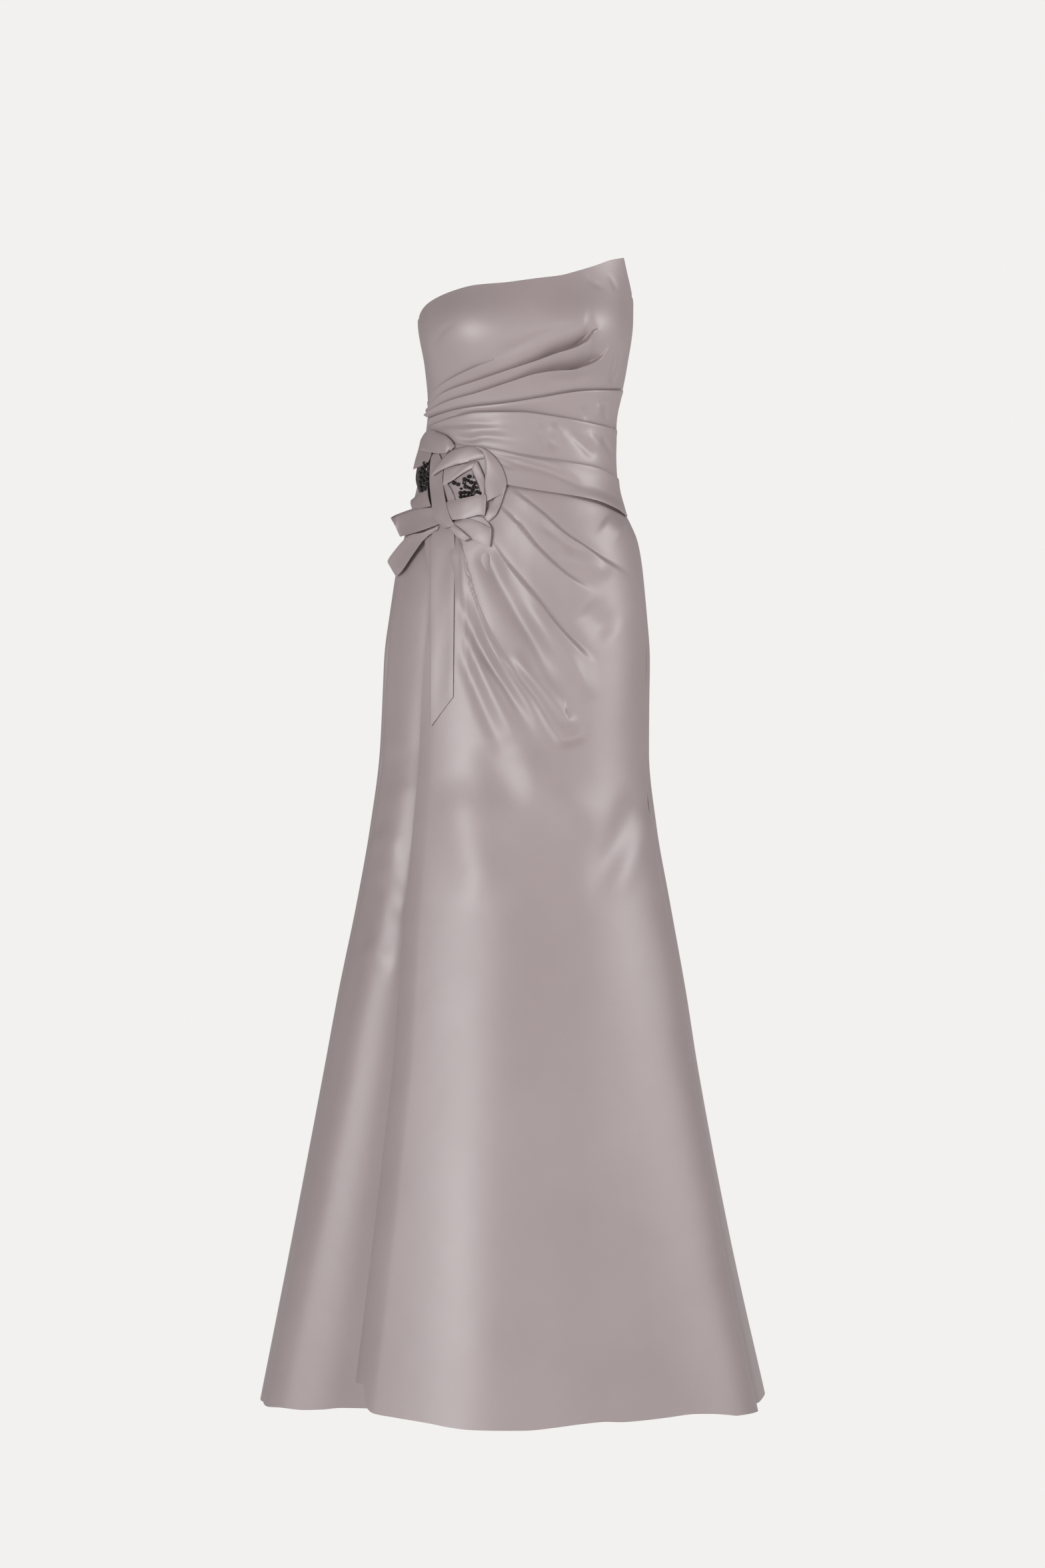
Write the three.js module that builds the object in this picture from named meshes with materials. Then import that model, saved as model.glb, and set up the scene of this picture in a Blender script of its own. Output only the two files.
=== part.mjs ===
// A strapless evening gown in satin, in its worn shape with nobody inside: a draped bodice whose neckline
// climbs to a peak, a pleated waist wrap, a trumpet skirt with a wrapped front, and on the right hip a
// corsage of two ribbon rosettes and a bow.
// Millimetres, +Z up, the front towards -Y and the wearer's left towards +X. Heights in the tables, called
// up, are counted from the hem; the last line sets the origin where the torso holds the gown.
import * as THREE from "three";

// Driving sizes
const HOLD_UP = 1300; // height of the underarm line, where the torso grips the bodice
const CLOTH = 1.6; // the wall of satin and its backing
const SEAM = 0.35; // gap between two pieces that are sewn together
const TUCK = 5; // how far one layer runs in under the next
const ROUNDNESS = 2.15; // exponent of the cross-section: 2 is an ellipse
const RIBBON = 1.1; // a ribbon folded double

const radians = (degrees) => (degrees * Math.PI) / 180;
const clamp01 = (t) => Math.min(1, Math.max(0, t));
const mix = (a, b, t) => a + (b - a) * t;
const ease = (from, to, at) => {
  const t = clamp01((at - from) / (to - from));
  return t * t * (3 - 2 * t);
};

// A smooth curve through [at, value] knots in rising order. It never swings past a knot.
function through(knots) {
  const last = knots.length - 1;
  const rise = knots.slice(1).map((k, i) => (k[1] - knots[i][1]) / (k[0] - knots[i][0]));
  const slope = knots.map((_, i) => {
    if (i === 0) return rise[0];
    if (i === last) return rise[last - 1];
    return rise[i - 1] * rise[i] <= 0 ? 0 : (2 * rise[i - 1] * rise[i]) / (rise[i - 1] + rise[i]);
  });
  return (at) => {
    if (at <= knots[0][0]) return knots[0][1];
    if (at >= knots[last][0]) return knots[last][1];
    const i = knots.findIndex((k) => k[0] > at) - 1;
    const span = knots[i + 1][0] - knots[i][0];
    const t = (at - knots[i][0]) / span;
    const [a, b] = [knots[i][1], knots[i + 1][1]];
    return (
      a * (1 + 2 * t) * (1 - t) ** 2 +
      span * slope[i] * t * (1 - t) ** 2 +
      b * t * t * (3 - 2 * t) +
      span * slope[i + 1] * t * t * (t - 1)
    );
  };
}

const column = (rows, at, value) => through(rows.map((row) => [row[at], row[value]]));

// The gown's outline: half widths to the wearer's right (left in the front view) and left, and half depths.
const OUTLINE = [
  { up: 0, left: 316, right: 294, front: 233, back: 262 },
  { up: 200, left: 276.5, right: 249, front: 203, back: 215 },
  { up: 405, left: 237.5, right: 210, front: 172, back: 172 },
  { up: 494, left: 221, right: 196, front: 158, back: 155 },
  { up: 606, left: 198, right: 176, front: 141, back: 137 },
  { up: 694, left: 182.5, right: 160.5, front: 130, back: 129 },
  { up: 783, left: 171, right: 151.5, front: 122, back: 127 },
  { up: 861, left: 167, right: 152, front: 118, back: 128 },
  { up: 943, left: 160.5, right: 150, front: 113, back: 129 },
  { up: 997, left: 152, right: 144.5, front: 108, back: 125 },
  { up: 1035, left: 143, right: 138, front: 104, back: 117 },
  { up: 1070, left: 134, right: 124, front: 98, back: 107 },
  { up: 1120, left: 122, right: 113, front: 90, back: 93 },
  { up: 1165, left: 115, right: 112, front: 86, back: 85 },
  { up: 1205, left: 113.5, right: 117.5, front: 88, back: 86 },
  { up: 1244, left: 117, right: 125, front: 92, back: 91 },
  { up: 1300, left: 125.5, right: 132.5, front: 93, back: 97 },
  { up: 1372, left: 124, right: 133, front: 84, back: 98 },
];
const leftAt = column(OUTLINE, "up", "left");
const rightAt = column(OUTLINE, "up", "right");
const frontAt = column(OUTLINE, "up", "front");
const backAt = column(OUTLINE, "up", "back");

// The cups of the bodice, cut on a general figure, and the soft ridge that the cloth makes between them.
const CUPS = [
  { x: -74, up: 1282, wide: 44, tall: 42, deep: 19 },
  { x: 4, up: 1288, wide: 56, tall: 42, deep: 12 },
  { x: 80, up: 1286, wide: 42, tall: 42, deep: 20 },
];
const cupAt = (x, up) =>
  CUPS.reduce((sum, c) => sum + c.deep * Math.exp(-(((x - c.x) / c.wide) ** 2) - ((up - c.up) / c.tall) ** 2), 0);

// Flutes that open towards the hem. turn is the angle round the gown at the hem, 0 in front and 90 at the
// wearer's left, and lean the degrees by which a flute moves round over a metre of height.
const FLUTES = [
  { turn: -6, lean: 0, wide: 17, out: 15, top: 800 },
  { turn: 26, lean: 14, wide: 15, out: -7, top: 760 },
  { turn: 60, lean: 10, wide: 13, out: 13, top: 800 },
  { turn: 112, lean: 0, wide: 12, out: -14, top: 700 },
  { turn: 135, lean: 0, wide: 13, out: 14, top: 740 },
  { turn: 157, lean: 0, wide: 12, out: -16, top: 720 },
  { turn: 180, lean: 0, wide: 13, out: 16, top: 760 },
  { turn: 203, lean: 0, wide: 12, out: -16, top: 720 },
  { turn: 225, lean: 0, wide: 13, out: 14, top: 740 },
  { turn: 248, lean: 0, wide: 12, out: -13, top: 700 },
];
function fluteAt(turn, up) {
  let out = 0;
  for (const f of FLUTES) {
    const away = ((((turn - f.turn - (f.lean * up) / 1000) % 360) + 540) % 360) - 180;
    out += f.out * clamp01(1 - up / f.top) ** 1.2 * Math.exp(-((away / f.wide) ** 2));
  }
  return out;
}

// A point on the gown's outline at a turn and height, moved outwards along the section's normal.
function onGown(turn, up, out = 0) {
  const [s, c] = [Math.sin(radians(turn)), Math.cos(radians(turn))];
  const wide = s < 0 ? leftAt(up) : rightAt(up);
  const deep = c > 0 ? frontAt(up) : backAt(up);
  const across = Math.abs(s) ** (2 / ROUNDNESS);
  const along = Math.abs(c) ** (2 / ROUNDNESS);
  const normal = new THREE.Vector2(
    (Math.sign(s) * across ** (ROUNDNESS - 1)) / wide,
    (-Math.sign(c) * along ** (ROUNDNESS - 1)) / deep,
  ).normalize();
  const [x, y] = [Math.sign(s) * wide * across, -Math.sign(c) * deep * along];
  const cup = cupAt(x, up) * ease(0.1, 0.6, c);
  const far = out + cup + fluteAt(turn, up);
  return new THREE.Vector3(x + normal.x * far, y + normal.y * far, up);
}

const acrossAt = (turn, up) => onGown(turn, up).x;

// The turn at which the front of the gown is x from its middle.
function turnAt(x, up) {
  const share = Math.min(1, Math.abs(x) / (x < 0 ? leftAt(up) : rightAt(up)));
  return (Math.sign(x) * Math.asin(share ** (ROUNDNESS / 2)) * 180) / Math.PI;
}

// Lines of the edges and folds. The neck edge is a height for each turn, the others for each x in front.
const line = (...knots) => through(knots);
const PEAK_TURN = 64;
const NECKLINE = line(
  [-80, 1302], [-61, 1315], [-38, 1328.5], [-24, 1334.5], [-8, 1337], [6, 1342], [18, 1346], [26, 1351],
  [38, 1359], [52, 1368], [PEAK_TURN, 1372],
);
const ARMHOLE = line([PEAK_TURN, 1372], [70, 1350], [80, 1329], [100, 1312], [120, 1296], [150, 1284], [180, 1280]);
const BACK_NECK = line([180, 1280], [210, 1282], [240, 1288], [260, 1295], [280, 1302]);
const BAND_TOP = line([-118, 1181], [-66, 1190.5], [-26, 1194], [22, 1201.5], [67, 1209.5], [111, 1214], [124, 1218]);
const WRAP_TOP = line(
  [-118, 1170], [-100, 1174], [-76, 1181], [-53, 1184.5], [0, 1184], [34, 1180], [78, 1173], [118, 1167],
);
const WRAP_FOLD = line([-118, 1152], [-50, 1144], [0, 1133.5], [58, 1125], [89, 1120], [118, 1107]);
const WRAP_FOOT = line([-132, 1116], [-60, 1105], [-18, 1098], [16, 1092], [84, 1081], [126, 1064]);

// Drape folds, each a line from the corsage side with a raised lip on its lower side. height is the lip's,
// reach how far it runs out below, and fade the shares of the line over which it rises and dies away.
const BODICE_FOLDS = [
  { height: 3.2, reach: 15, fade: [0.08, 0.55], path: [[-113, 1201], [-102, 1213], [-88, 1223], [-61, 1235], [-40, 1243], [-22, 1250]] },
  { height: 5.2, reach: 15, fade: [0.05, 0.84], path: [[-114, 1190], [-92, 1209], [-53, 1221.5], [-22, 1231.5], [22, 1246], [64, 1263.5], [92, 1287]] },
  { height: 5, reach: 16, fade: [0.05, 0.84], path: [[-115, 1184], [-88, 1198], [-53, 1207], [-11, 1220], [18, 1229], [53, 1235], [86, 1246], [104, 1264]] },
];
const SKIRT_FOLDS = [
  { height: 5, reach: 17, fade: [0.1, 0.8], path: [[-17, 1097], [22, 1066], [51, 1040], [95, 1010], [137, 988]] },
  { height: 5, reach: 18, fade: [0.22, 0.75], path: [[-30, 1075], [-4, 1050], [16, 1026], [58, 988], [92, 973]] },
  { height: 5.5, reach: 20, fade: [0.12, 0.72], path: [[-35, 1029], [-4, 988], [16, 965], [39, 935], [62, 910], [86, 890]] },
  { height: 4.5, reach: 16, fade: [0.2, 0.62], path: [[-72, 1025], [-62, 995], [-42, 926], [-26, 894], [0, 873], [43, 818]] },
  { height: 4, reach: 15, fade: [0.25, 0.7], path: [[-80, 963], [-56, 914], [-30, 859], [4, 817], [23, 775]] },
];
// Soft rolls with no crease: the drape's last swag, and what hangs between the folds.
const SKIRT_ROLLS = [
  { height: 5, reach: 30, fade: [0.3, 0.7], path: [[-63, 742], [-42, 663], [-14, 612], [20, 596], [60, 607], [95, 640], [127, 701], [146, 736]] },
  { height: -4.5, reach: 13, fade: [0.3, 0.7], path: [[-16, 960], [6, 914], [30, 875], [45, 845]] },
];

function prepared(folds) {
  return folds.map((fold) => ({
    ...fold,
    line: new THREE.SplineCurve(fold.path.map((p) => new THREE.Vector2(...p))).getPoints(36),
  }));
}

// How far a point lies from a fold's line, positive on its lower side, and how far along the line.
function nearest(points, x, up) {
  let best = { gap: Infinity, along: 0 };
  for (let i = 0; i + 1 < points.length; i++) {
    const [a, b] = [points[i], points[i + 1]];
    const [dx, dz] = [b.x - a.x, b.y - a.y];
    const t = clamp01(((x - a.x) * dx + (up - a.y) * dz) / (dx * dx + dz * dz));
    const [px, pz] = [x - a.x - dx * t, up - a.y - dz * t];
    const gap = Math.hypot(px, pz);
    if (gap < Math.abs(best.gap))
      best = { gap: dx * pz - dz * px > 0 ? -gap : gap, along: (i + t) / (points.length - 1) };
  }
  return best;
}

const LIP = 3; // the width over which a lip comes up from the cloth above it
function creased(folds, x, up) {
  let out = 0;
  for (const fold of folds) {
    const { gap, along } = nearest(fold.line, x, up);
    const shown = ease(0, fold.fade[0], along) * (1 - ease(fold.fade[1], 1, along));
    out += fold.height * shown * (gap < 0 ? ease(-LIP, 0, gap) : Math.exp(-((gap / fold.reach) ** 1.4)));
  }
  return out;
}
function rolled(folds, x, up) {
  let out = 0;
  for (const fold of folds) {
    const { gap, along } = nearest(fold.line, x, up);
    const shown = ease(0, fold.fade[0], along) * (1 - ease(fold.fade[1], 1, along));
    out += fold.height * shown * Math.exp(-((gap / fold.reach) ** 2));
  }
  return out;
}
const bodiceFolds = prepared(BODICE_FOLDS);
const skirtFolds = prepared(SKIRT_FOLDS);
const skirtRolls = prepared(SKIRT_ROLLS);

// A closed solid from a grid of outer points and the same grid of inner points.
function wall(outer, inner) {
  const [rows, columns] = [outer.length, outer[0].length];
  const position = [...outer, ...inner].flat().flatMap((p) => [p.x, p.y, p.z]);
  const index = [];
  const face = (a, b, c, d) => index.push(a, b, c, a, c, d);
  const at = (row, col, side) => (side * rows + row) * columns + col;
  for (let r = 0; r + 1 < rows; r++) {
    for (let c = 0; c + 1 < columns; c++) {
      face(at(r, c, 0), at(r + 1, c, 0), at(r + 1, c + 1, 0), at(r, c + 1, 0));
      face(at(r, c, 1), at(r, c + 1, 1), at(r + 1, c + 1, 1), at(r + 1, c, 1));
    }
    const c = columns - 1;
    face(at(r, 0, 0), at(r, 0, 1), at(r + 1, 0, 1), at(r + 1, 0, 0));
    face(at(r, c, 0), at(r + 1, c, 0), at(r + 1, c, 1), at(r, c, 1));
  }
  for (let c = 0; c + 1 < columns; c++) {
    const r = rows - 1;
    face(at(0, c, 0), at(0, c + 1, 0), at(0, c + 1, 1), at(0, c, 1));
    face(at(r, c, 0), at(r, c, 1), at(r, c + 1, 1), at(r, c + 1, 0));
  }
  const geometry = new THREE.BufferGeometry();
  geometry.setAttribute("position", new THREE.Float32BufferAttribute(position, 3));
  geometry.setIndex(index);
  geometry.computeVertexNormals();
  return geometry;
}

const gown = new THREE.Group();
const finish = (color, roughness, metalness = 0) =>
  new THREE.MeshStandardMaterial({ color, roughness, metalness });
const SATIN = finish(0xb3a6a6, 0.42);
const BEADED = finish(0x4a4348, 0.5);
const METAL = finish(0x9d9494, 0.35, 1);
function add(name, geometry, material = SATIN) {
  const mesh = new THREE.Mesh(geometry, material);
  mesh.name = name;
  gown.add(mesh);
}

const spread = (from, to, steps) => Array.from({ length: steps + 1 }, (_, i) => mix(from, to, i / steps));

// A panel of cloth. shares are its columns, 0 at the edge turn from(up) and 1 at to(up). rows gives the
// heights down the column at a turn, out how proud of the outline a point lies, shift how far it is set back.
function panel(name, { shares, from, to, rows, out, shift = () => 0 }) {
  const columns = shares.map((share) => {
    const nominal = mix(from(1000), to(1000), share);
    return rows(nominal).map((up) => {
      const turn = mix(from(up), to(up), share);
      const proud = out(turn, up);
      return [0, CLOTH].map((depth) => {
        const point = onGown(turn, up, proud - depth);
        point.y += shift(turn, up);
        return point;
      });
    });
  });
  const grid = (side) => columns[0].map((_, row) => columns.map((points) => points[row][side]));
  add(name, wall(grid(0), grid(1)));
}

// Seams down the wearer's right side, left side and the middle of the back. On the skirt the left one
// leans forward, so that it shows just inside the outline.
const RIGHT_SEAM = -80;
const LEFT_SEAM = 80;
const BACK_SEAM = 180;
const skirtSeam = line([0, 66], [405, 70], [650, 72], [760, 74], [900, 77.5], [1064, LEFT_SEAM], [1300, LEFT_SEAM]);
const seamTurn = (up) => (((SEAM / 2 + 0.15) / rightAt(up)) * 180) / Math.PI; // what half a seam gap takes up
const past = (turn) => (up) => turn + seamTurn(up);
const before = (turn) => (up) => turn - seamTurn(up);

// The height at which a line of the front crosses a turn.
const crossing = (height, turn) => height(acrossAt(turn, height(acrossAt(turn, 1150))));

// Bodice front: from the neckline down to its tuck under the waist wrap, with a row on each side of a fold.
const FOLD_ROW = 1.7;
const foldHeights = BODICE_FOLDS.map(({ path }) =>
  line([-135, path[0][1] - 5], ...path, [path.at(-1)[0] + 60, path.at(-1)[1] + 12]),
);
const neckAt = (turn) => (turn <= PEAK_TURN ? NECKLINE(turn) : ARMHOLE(turn));
function bodiceRows(turn) {
  const x = acrossAt(turn, 1220);
  const top = neckAt(turn);
  const cover = crossing(BAND_TOP, turn);
  const foot = cover - TUCK;
  const folds = foldHeights.map((at) => at(x));
  folds.push(cover + 1);
  // where the folds crowd together at the side, each keeps clear of the one below
  for (let i = folds.length - 2; i >= 0; i--) folds[i] = Math.max(folds[i], folds[i + 1] + 4.4);
  const chest = Math.max(1258, folds[0] + 7);
  const rows = [top, mix(top, chest, 0.35), mix(top, chest, 0.7), chest];
  for (const at of folds.slice(0, -1)) rows.push(at + FOLD_ROW, at - FOLD_ROW);
  rows.push(folds.at(-1), foot);
  return rows;
}
function bodiceOut(turn, up) {
  const x = acrossAt(turn, up);
  return (0.3 + creased(bodiceFolds, x, up)) * ease(BAND_TOP(x) + 1, BAND_TOP(x) + 7, up);
}
const peakShare = (PEAK_TURN - RIGHT_SEAM) / (LEFT_SEAM - RIGHT_SEAM);
panel("bodice_front", {
  shares: [...spread(0, peakShare, 28), ...spread(peakShare, 1, 4).slice(1)],
  from: past(RIGHT_SEAM),
  to: before(LEFT_SEAM),
  rows: bodiceRows,
  out: bodiceOut,
});

// Waist wrap: three overlapping bands, each with its upper edge over the one above. A band stands proud
// at its upper edge and dives to the outline at its foot, where the next one covers it.
const OVER = CLOTH + SEAM;
const CLEAR = TUCK + 0.8; // a band starts to dive past the cloth tucked in under it
const bandOut = (top, foot) => (turn, up) => {
  const x = acrossAt(turn, up);
  const down = top(x) - up;
  const dive = clamp01((down - CLEAR) / (top(x) - foot(x) - 2 * CLEAR));
  const lip = 1.6 * (1 - ease(0, 0.45 * (top(x) - foot(x)), down)) * ease(-62, -20, x);
  return (OVER + 0.25) * (1 - dive) + lip;
};
const bandRows = (top, foot, tuck = CLEAR) => (turn) => {
  const [edge, end] = [crossing(top, turn), crossing(foot, turn)];
  const [high, low] = [edge - CLEAR, end + tuck];
  return [edge, mix(edge, high, 0.5), high, mix(high, low, 0.5), low, end];
};
const lower = (height, by) => (x) => height(x) - by;
const wrapShares = spread(0, 1, 32);
const bands = [
  { name: "waist_wrap_upper", top: BAND_TOP, foot: lower(WRAP_TOP, TUCK) },
  { name: "waist_wrap_middle", top: WRAP_TOP, foot: lower(WRAP_FOLD, TUCK) },
];
for (const { name, top, foot } of bands)
  panel(name, {
    shares: wrapShares,
    from: past(RIGHT_SEAM),
    to: before(LEFT_SEAM),
    rows: bandRows(top, foot),
    out: bandOut(top, foot),
  });
// The lowest band stays proud down to its free lower edge, which stands off the skirt at the left side.
const footLift = (x, up) => 3.2 * ease(40, 84, x) * (1 - ease(108, 122, x)) * (1 - ease(0, 16, up - WRAP_FOOT(x)));
panel("waist_wrap_lower", {
  shares: wrapShares,
  from: past(RIGHT_SEAM),
  to: before(LEFT_SEAM),
  rows: bandRows(WRAP_FOLD, WRAP_FOOT, 1.5),
  out(turn, up) {
    const x = acrossAt(turn, up);
    const lip = 1.4 * Math.exp(-(((WRAP_FOLD(x) - up) / 9) ** 2)) * ease(-62, -20, x);
    return OVER + 0.2 + lip + footLift(x, up);
  },
});

// Bodice backs: plain, from the neck edge down to the waist seam, with the zip between them.
const backWaist = line([80, 1064], [130, 1078], [180, 1090], [230, 1101], [280, 1114]);
const backNeck = (turn) => (turn <= 180 ? ARMHOLE(turn) : BACK_NECK(turn));
const plain = () => 0.3;
function backPanel(name, from, to, rows, out, steps) {
  panel(name, { shares: spread(0, 1, steps), from, to, rows, out });
}
const bodiceBackRows = (turn) => spread(0, 1, 10).map((t) => mix(backNeck(turn), backWaist(turn) + SEAM, t));
backPanel("bodice_back_left", past(LEFT_SEAM), before(BACK_SEAM), bodiceBackRows, plain, 10);
backPanel("bodice_back_right", past(BACK_SEAM), before(360 + RIGHT_SEAM), bodiceBackRows, plain, 10);

// How far the underlap hangs behind the wrap at a height.
const setBackAt = (up) => 62 * (1 - clamp01(up / 1000)) ** 1.9;

// Skirt front: wraps across to a free edge below the corsage. Its hem is cut round at that edge.
const wrapEdge = line(
  [0, -40.3], [250, -40], [400, -40], [490, -41.2], [620, -44], [770, -45], [876, -43.5], [933, -41.2],
  [972, -42.4], [993, -44.5], [1034, -52.5], [1110, -58],
);
const frontHem = line(
  [-40.3, 48], [-38.6, 25], [-35.5, 17], [-29, 14], [-20, 10], [-14, 6], [-9, 4], [2, 3.5], [9, 6], [15, 8.5],
  [22, 10], [28, 8.5], [33, 9], [42, 11], [50, 13], [56, 12], [61, 10], [66, 7],
);
// How far the wrap rolls back towards its free edge.
const edgeRoll = (turn, up) =>
  (2 + 0.3 * setBackAt(up)) * (1 - ease(780, 900, up)) * (1 - clamp01((turn - wrapEdge(up)) / 9)) ** 2;
const SKIRT_ROWS = [
  0, 0.013, 0.028, 0.045, 0.07, 0.095, 0.12, 0.145, 0.17, 0.195, 0.22, 0.25, 0.28, 0.31, 0.345, 0.385, 0.43, 0.48, 0.54, 0.6,
  0.67, 0.74, 0.81, 0.88, 0.94, 0.975, 1,
];
panel("skirt_front", {
  shares: spread(0, 1, 40),
  from: wrapEdge,
  to: (up) => skirtSeam(up) - 1.5 * seamTurn(up),
  rows(turn) {
    const seam = crossing(WRAP_FOOT, turn);
    return [seam + TUCK, ...SKIRT_ROWS.map((t) => mix(seam - 0.5, frontHem(turn), t))];
  },
  out(turn, up) {
    const x = acrossAt(turn, up);
    const shown = ease(WRAP_FOOT(x), WRAP_FOOT(x) - 14, up);
    return shown * (0.3 + creased(skirtFolds, x, up) + rolled(skirtRolls, x, up)) - edgeRoll(turn, up);
  },
});

// Underlap: the skirt's right front, which the free edge covers. It falls further back towards the hem.
const setBack = (turn, up) => setBackAt(up) * ease(mix(-79, -60, clamp01(up / 600)), -42, turn);
const underHem = line([-80, 10], [-74, 7], [-66, 8], [-55, 6.5], [-48, 8], [-41, 12], [-30, 14], [-10, 14]);
panel("skirt_underlap", {
  shares: spread(0, 1, 10),
  from: (up) => RIGHT_SEAM + 1.5 * seamTurn(up),
  to: () => -14,
  rows(turn) {
    const top = crossing(WRAP_FOOT, turn) + TUCK - 10 * ease(-70, -60, turn);
    return spread(0, 1, 20).map((t) => mix(top, underHem(turn), t ** 0.9));
  },
  out: (turn) => -(OVER + 0.3) * ease(-79, -66, turn),
  shift: setBack,
});

// Skirt backs: from the waist seam to the hem, in flutes.
const backHem = line([66, 7], [76, 15], [90, 17], [112, 14], [180, 0], [248, 8], [280, 10]);
const skirtBackRows = (turn) =>
  spread(0, 1, 18).map((t) => mix(backWaist(turn), backHem(turn), t));
backPanel("skirt_back_left", (up) => skirtSeam(up) + seamTurn(up), before(BACK_SEAM), skirtBackRows, plain, 18);
backPanel("skirt_back_right", past(BACK_SEAM), before(360 + RIGHT_SEAM), skirtBackRows, plain, 18);

// Corsage: ribbons folded double. A ribbon is a row of stations, each with the x, height and lift off the
// gown of its edge a and of its edge b. A station that turns back over the last one makes a loop.
function besideGown([x, up, lift]) {
  let [low, high] = [-95, 0];
  for (let i = 0; i < 30; i++) {
    const turn = (low + high) / 2;
    if (onGown(turn, up, lift).x < x) low = turn;
    else high = turn;
  }
  return onGown((low + high) / 2, up, lift);
}
function ribbon(name, stations, { crown = 0.8, between = 3, material } = {}) {
  const edges = [0, 1].map((side) => {
    const curve = new THREE.CatmullRomCurve3(stations.map((s) => besideGown(s[side])), false, "centripetal");
    const count = (stations.length - 1) * between;
    return spread(0, 1, count).map((t) => curve.getPoint(t));
  });
  const columns = edges[0].map((a, i) => {
    const b = edges[1][i];
    const [i0, i1] = [Math.max(i - 1, 0), Math.min(i + 1, edges[0].length - 1)];
    const along = edges[0][i1].clone().sub(edges[0][i0]).add(edges[1][i1]).sub(edges[1][i0]);
    const face = b.clone().sub(a).cross(along).normalize();
    return [1, -1].map((side) =>
      [0, 0.5, 1].map((t) =>
        a.clone().lerp(b, t).addScaledVector(face, (side * RIBBON) / 2 + crown * 4 * t * (1 - t)),
      ),
    );
  });
  const grid = (side) => columns[0][side].map((_, row) => columns.map((sides) => sides[side][row]));
  add(name, wall(grid(0), grid(1)), material);
}

// Bow: the tail lies on the skirt, then four loops, then the strap that binds them.
ribbon("bow_tail", [
  [[-103, 1050, 1.9], [-85, 1050, 1.9]],
  [[-107.6, 1036, 2.6], [-80.6, 1037, 2.8]],
  [[-107.8, 985, 2.8], [-80.8, 985, 4.2]],
  [[-107.8, 930, 2.2], [-81.2, 930, 3.6]],
  [[-107.8, 870, 2], [-81.6, 880, 2.5]],
  [[-107.8, 813, 1.7], [-81.8, 847.5, 2.1]],
], { crown: 0.2 });
ribbon("bow_loop_upper_left", [
  [[-101, 1071, 8.4], [-99, 1053, 8.4]],
  [[-122.6, 1072, 12], [-120.2, 1045.6, 11]],
  [[-147, 1067.5, 18], [-138, 1041.5, 14]],
  [[-157.5, 1064, 25], [-144, 1041, 15]],
  [[-148, 1066.5, 15.5], [-137, 1042.5, 10]],
  [[-124, 1068, 6], [-120, 1048, 5.4]],
  [[-104, 1067, 1.7], [-103, 1055, 1.7]],
]);
ribbon("bow_loop_lower_left", [
  [[-99.5, 1049.5, 6.6], [-101, 1044.5, 6.6]],
  [[-117, 1042.8, 8.5], [-115.5, 1035.6, 8.5]],
  [[-137, 1037.5, 12], [-128.5, 1019.5, 11]],
  [[-155, 1018, 14.5], [-143, 1000, 13]],
  [[-160, 1011, 12.5], [-150, 994, 11]],
  [[-152, 1016, 9.5], [-141, 1001, 8]],
  [[-134, 1032, 6], [-127, 1020.5, 5.4]],
  [[-113.4, 1041, 1.35], [-112.4, 1036.5, 1.35]],
]);
ribbon("bow_loop_upper_right", [
  [[-92, 1077, 8.2], [-89, 1060.5, 8.2]],
  [[-70, 1081.5, 10.6], [-70, 1059, 10.6]],
  [[-51, 1085, 11.4], [-51, 1062, 11.4]],
  [[-44.6, 1085.6, 9.8], [-45, 1062, 9.8]],
  [[-51, 1084.4, 8], [-51, 1062.6, 8]],
  [[-70, 1080, 6], [-70, 1061, 6]],
  [[-83, 1075, 1.8], [-83, 1062, 1.8]],
]);
ribbon("bow_loop_lower_right", [
  [[-82, 1053.6, 7], [-81, 1050.6, 7]],
  [[-66, 1056, 9], [-62, 1036, 9]],
  [[-51, 1052.5, 10.6], [-49.5, 1028.5, 10.6]],
  [[-38.5, 1046, 9.4], [-39.4, 1025, 9.4]],
  [[-50, 1050, 6.6], [-50, 1030, 6.6]],
  [[-66, 1052, 4.6], [-64, 1040, 4.6]],
  [[-76, 1051, 2], [-75, 1046, 2]],
]);
ribbon("knot_strap", [
  [[-107, 1133.5, 4.2], [-94, 1133.5, 4.2]],
  [[-109.8, 1124, 8.6], [-93.6, 1124, 8.6]],
  [[-110.3, 1102, 9], [-94.6, 1102, 9]],
  [[-107.8, 1080.7, 10.6], [-90.1, 1078.3, 10.6]],
  [[-105.8, 1064, 11.2], [-84.5, 1061, 11.2]],
  [[-99.5, 1051.4, 10], [-79.8, 1049.6, 10]],
]);
ribbon("knot_end", [
  [[-79.6, 1048.9, 9.6], [-84.5, 1045.8, 9.2]],
  [[-70, 1041.6, 11.6], [-78, 1036, 11]],
  [[-62.2, 1034.6, 12.4], [-70, 1031.4, 12]],
], { crown: 0.4 });

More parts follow.
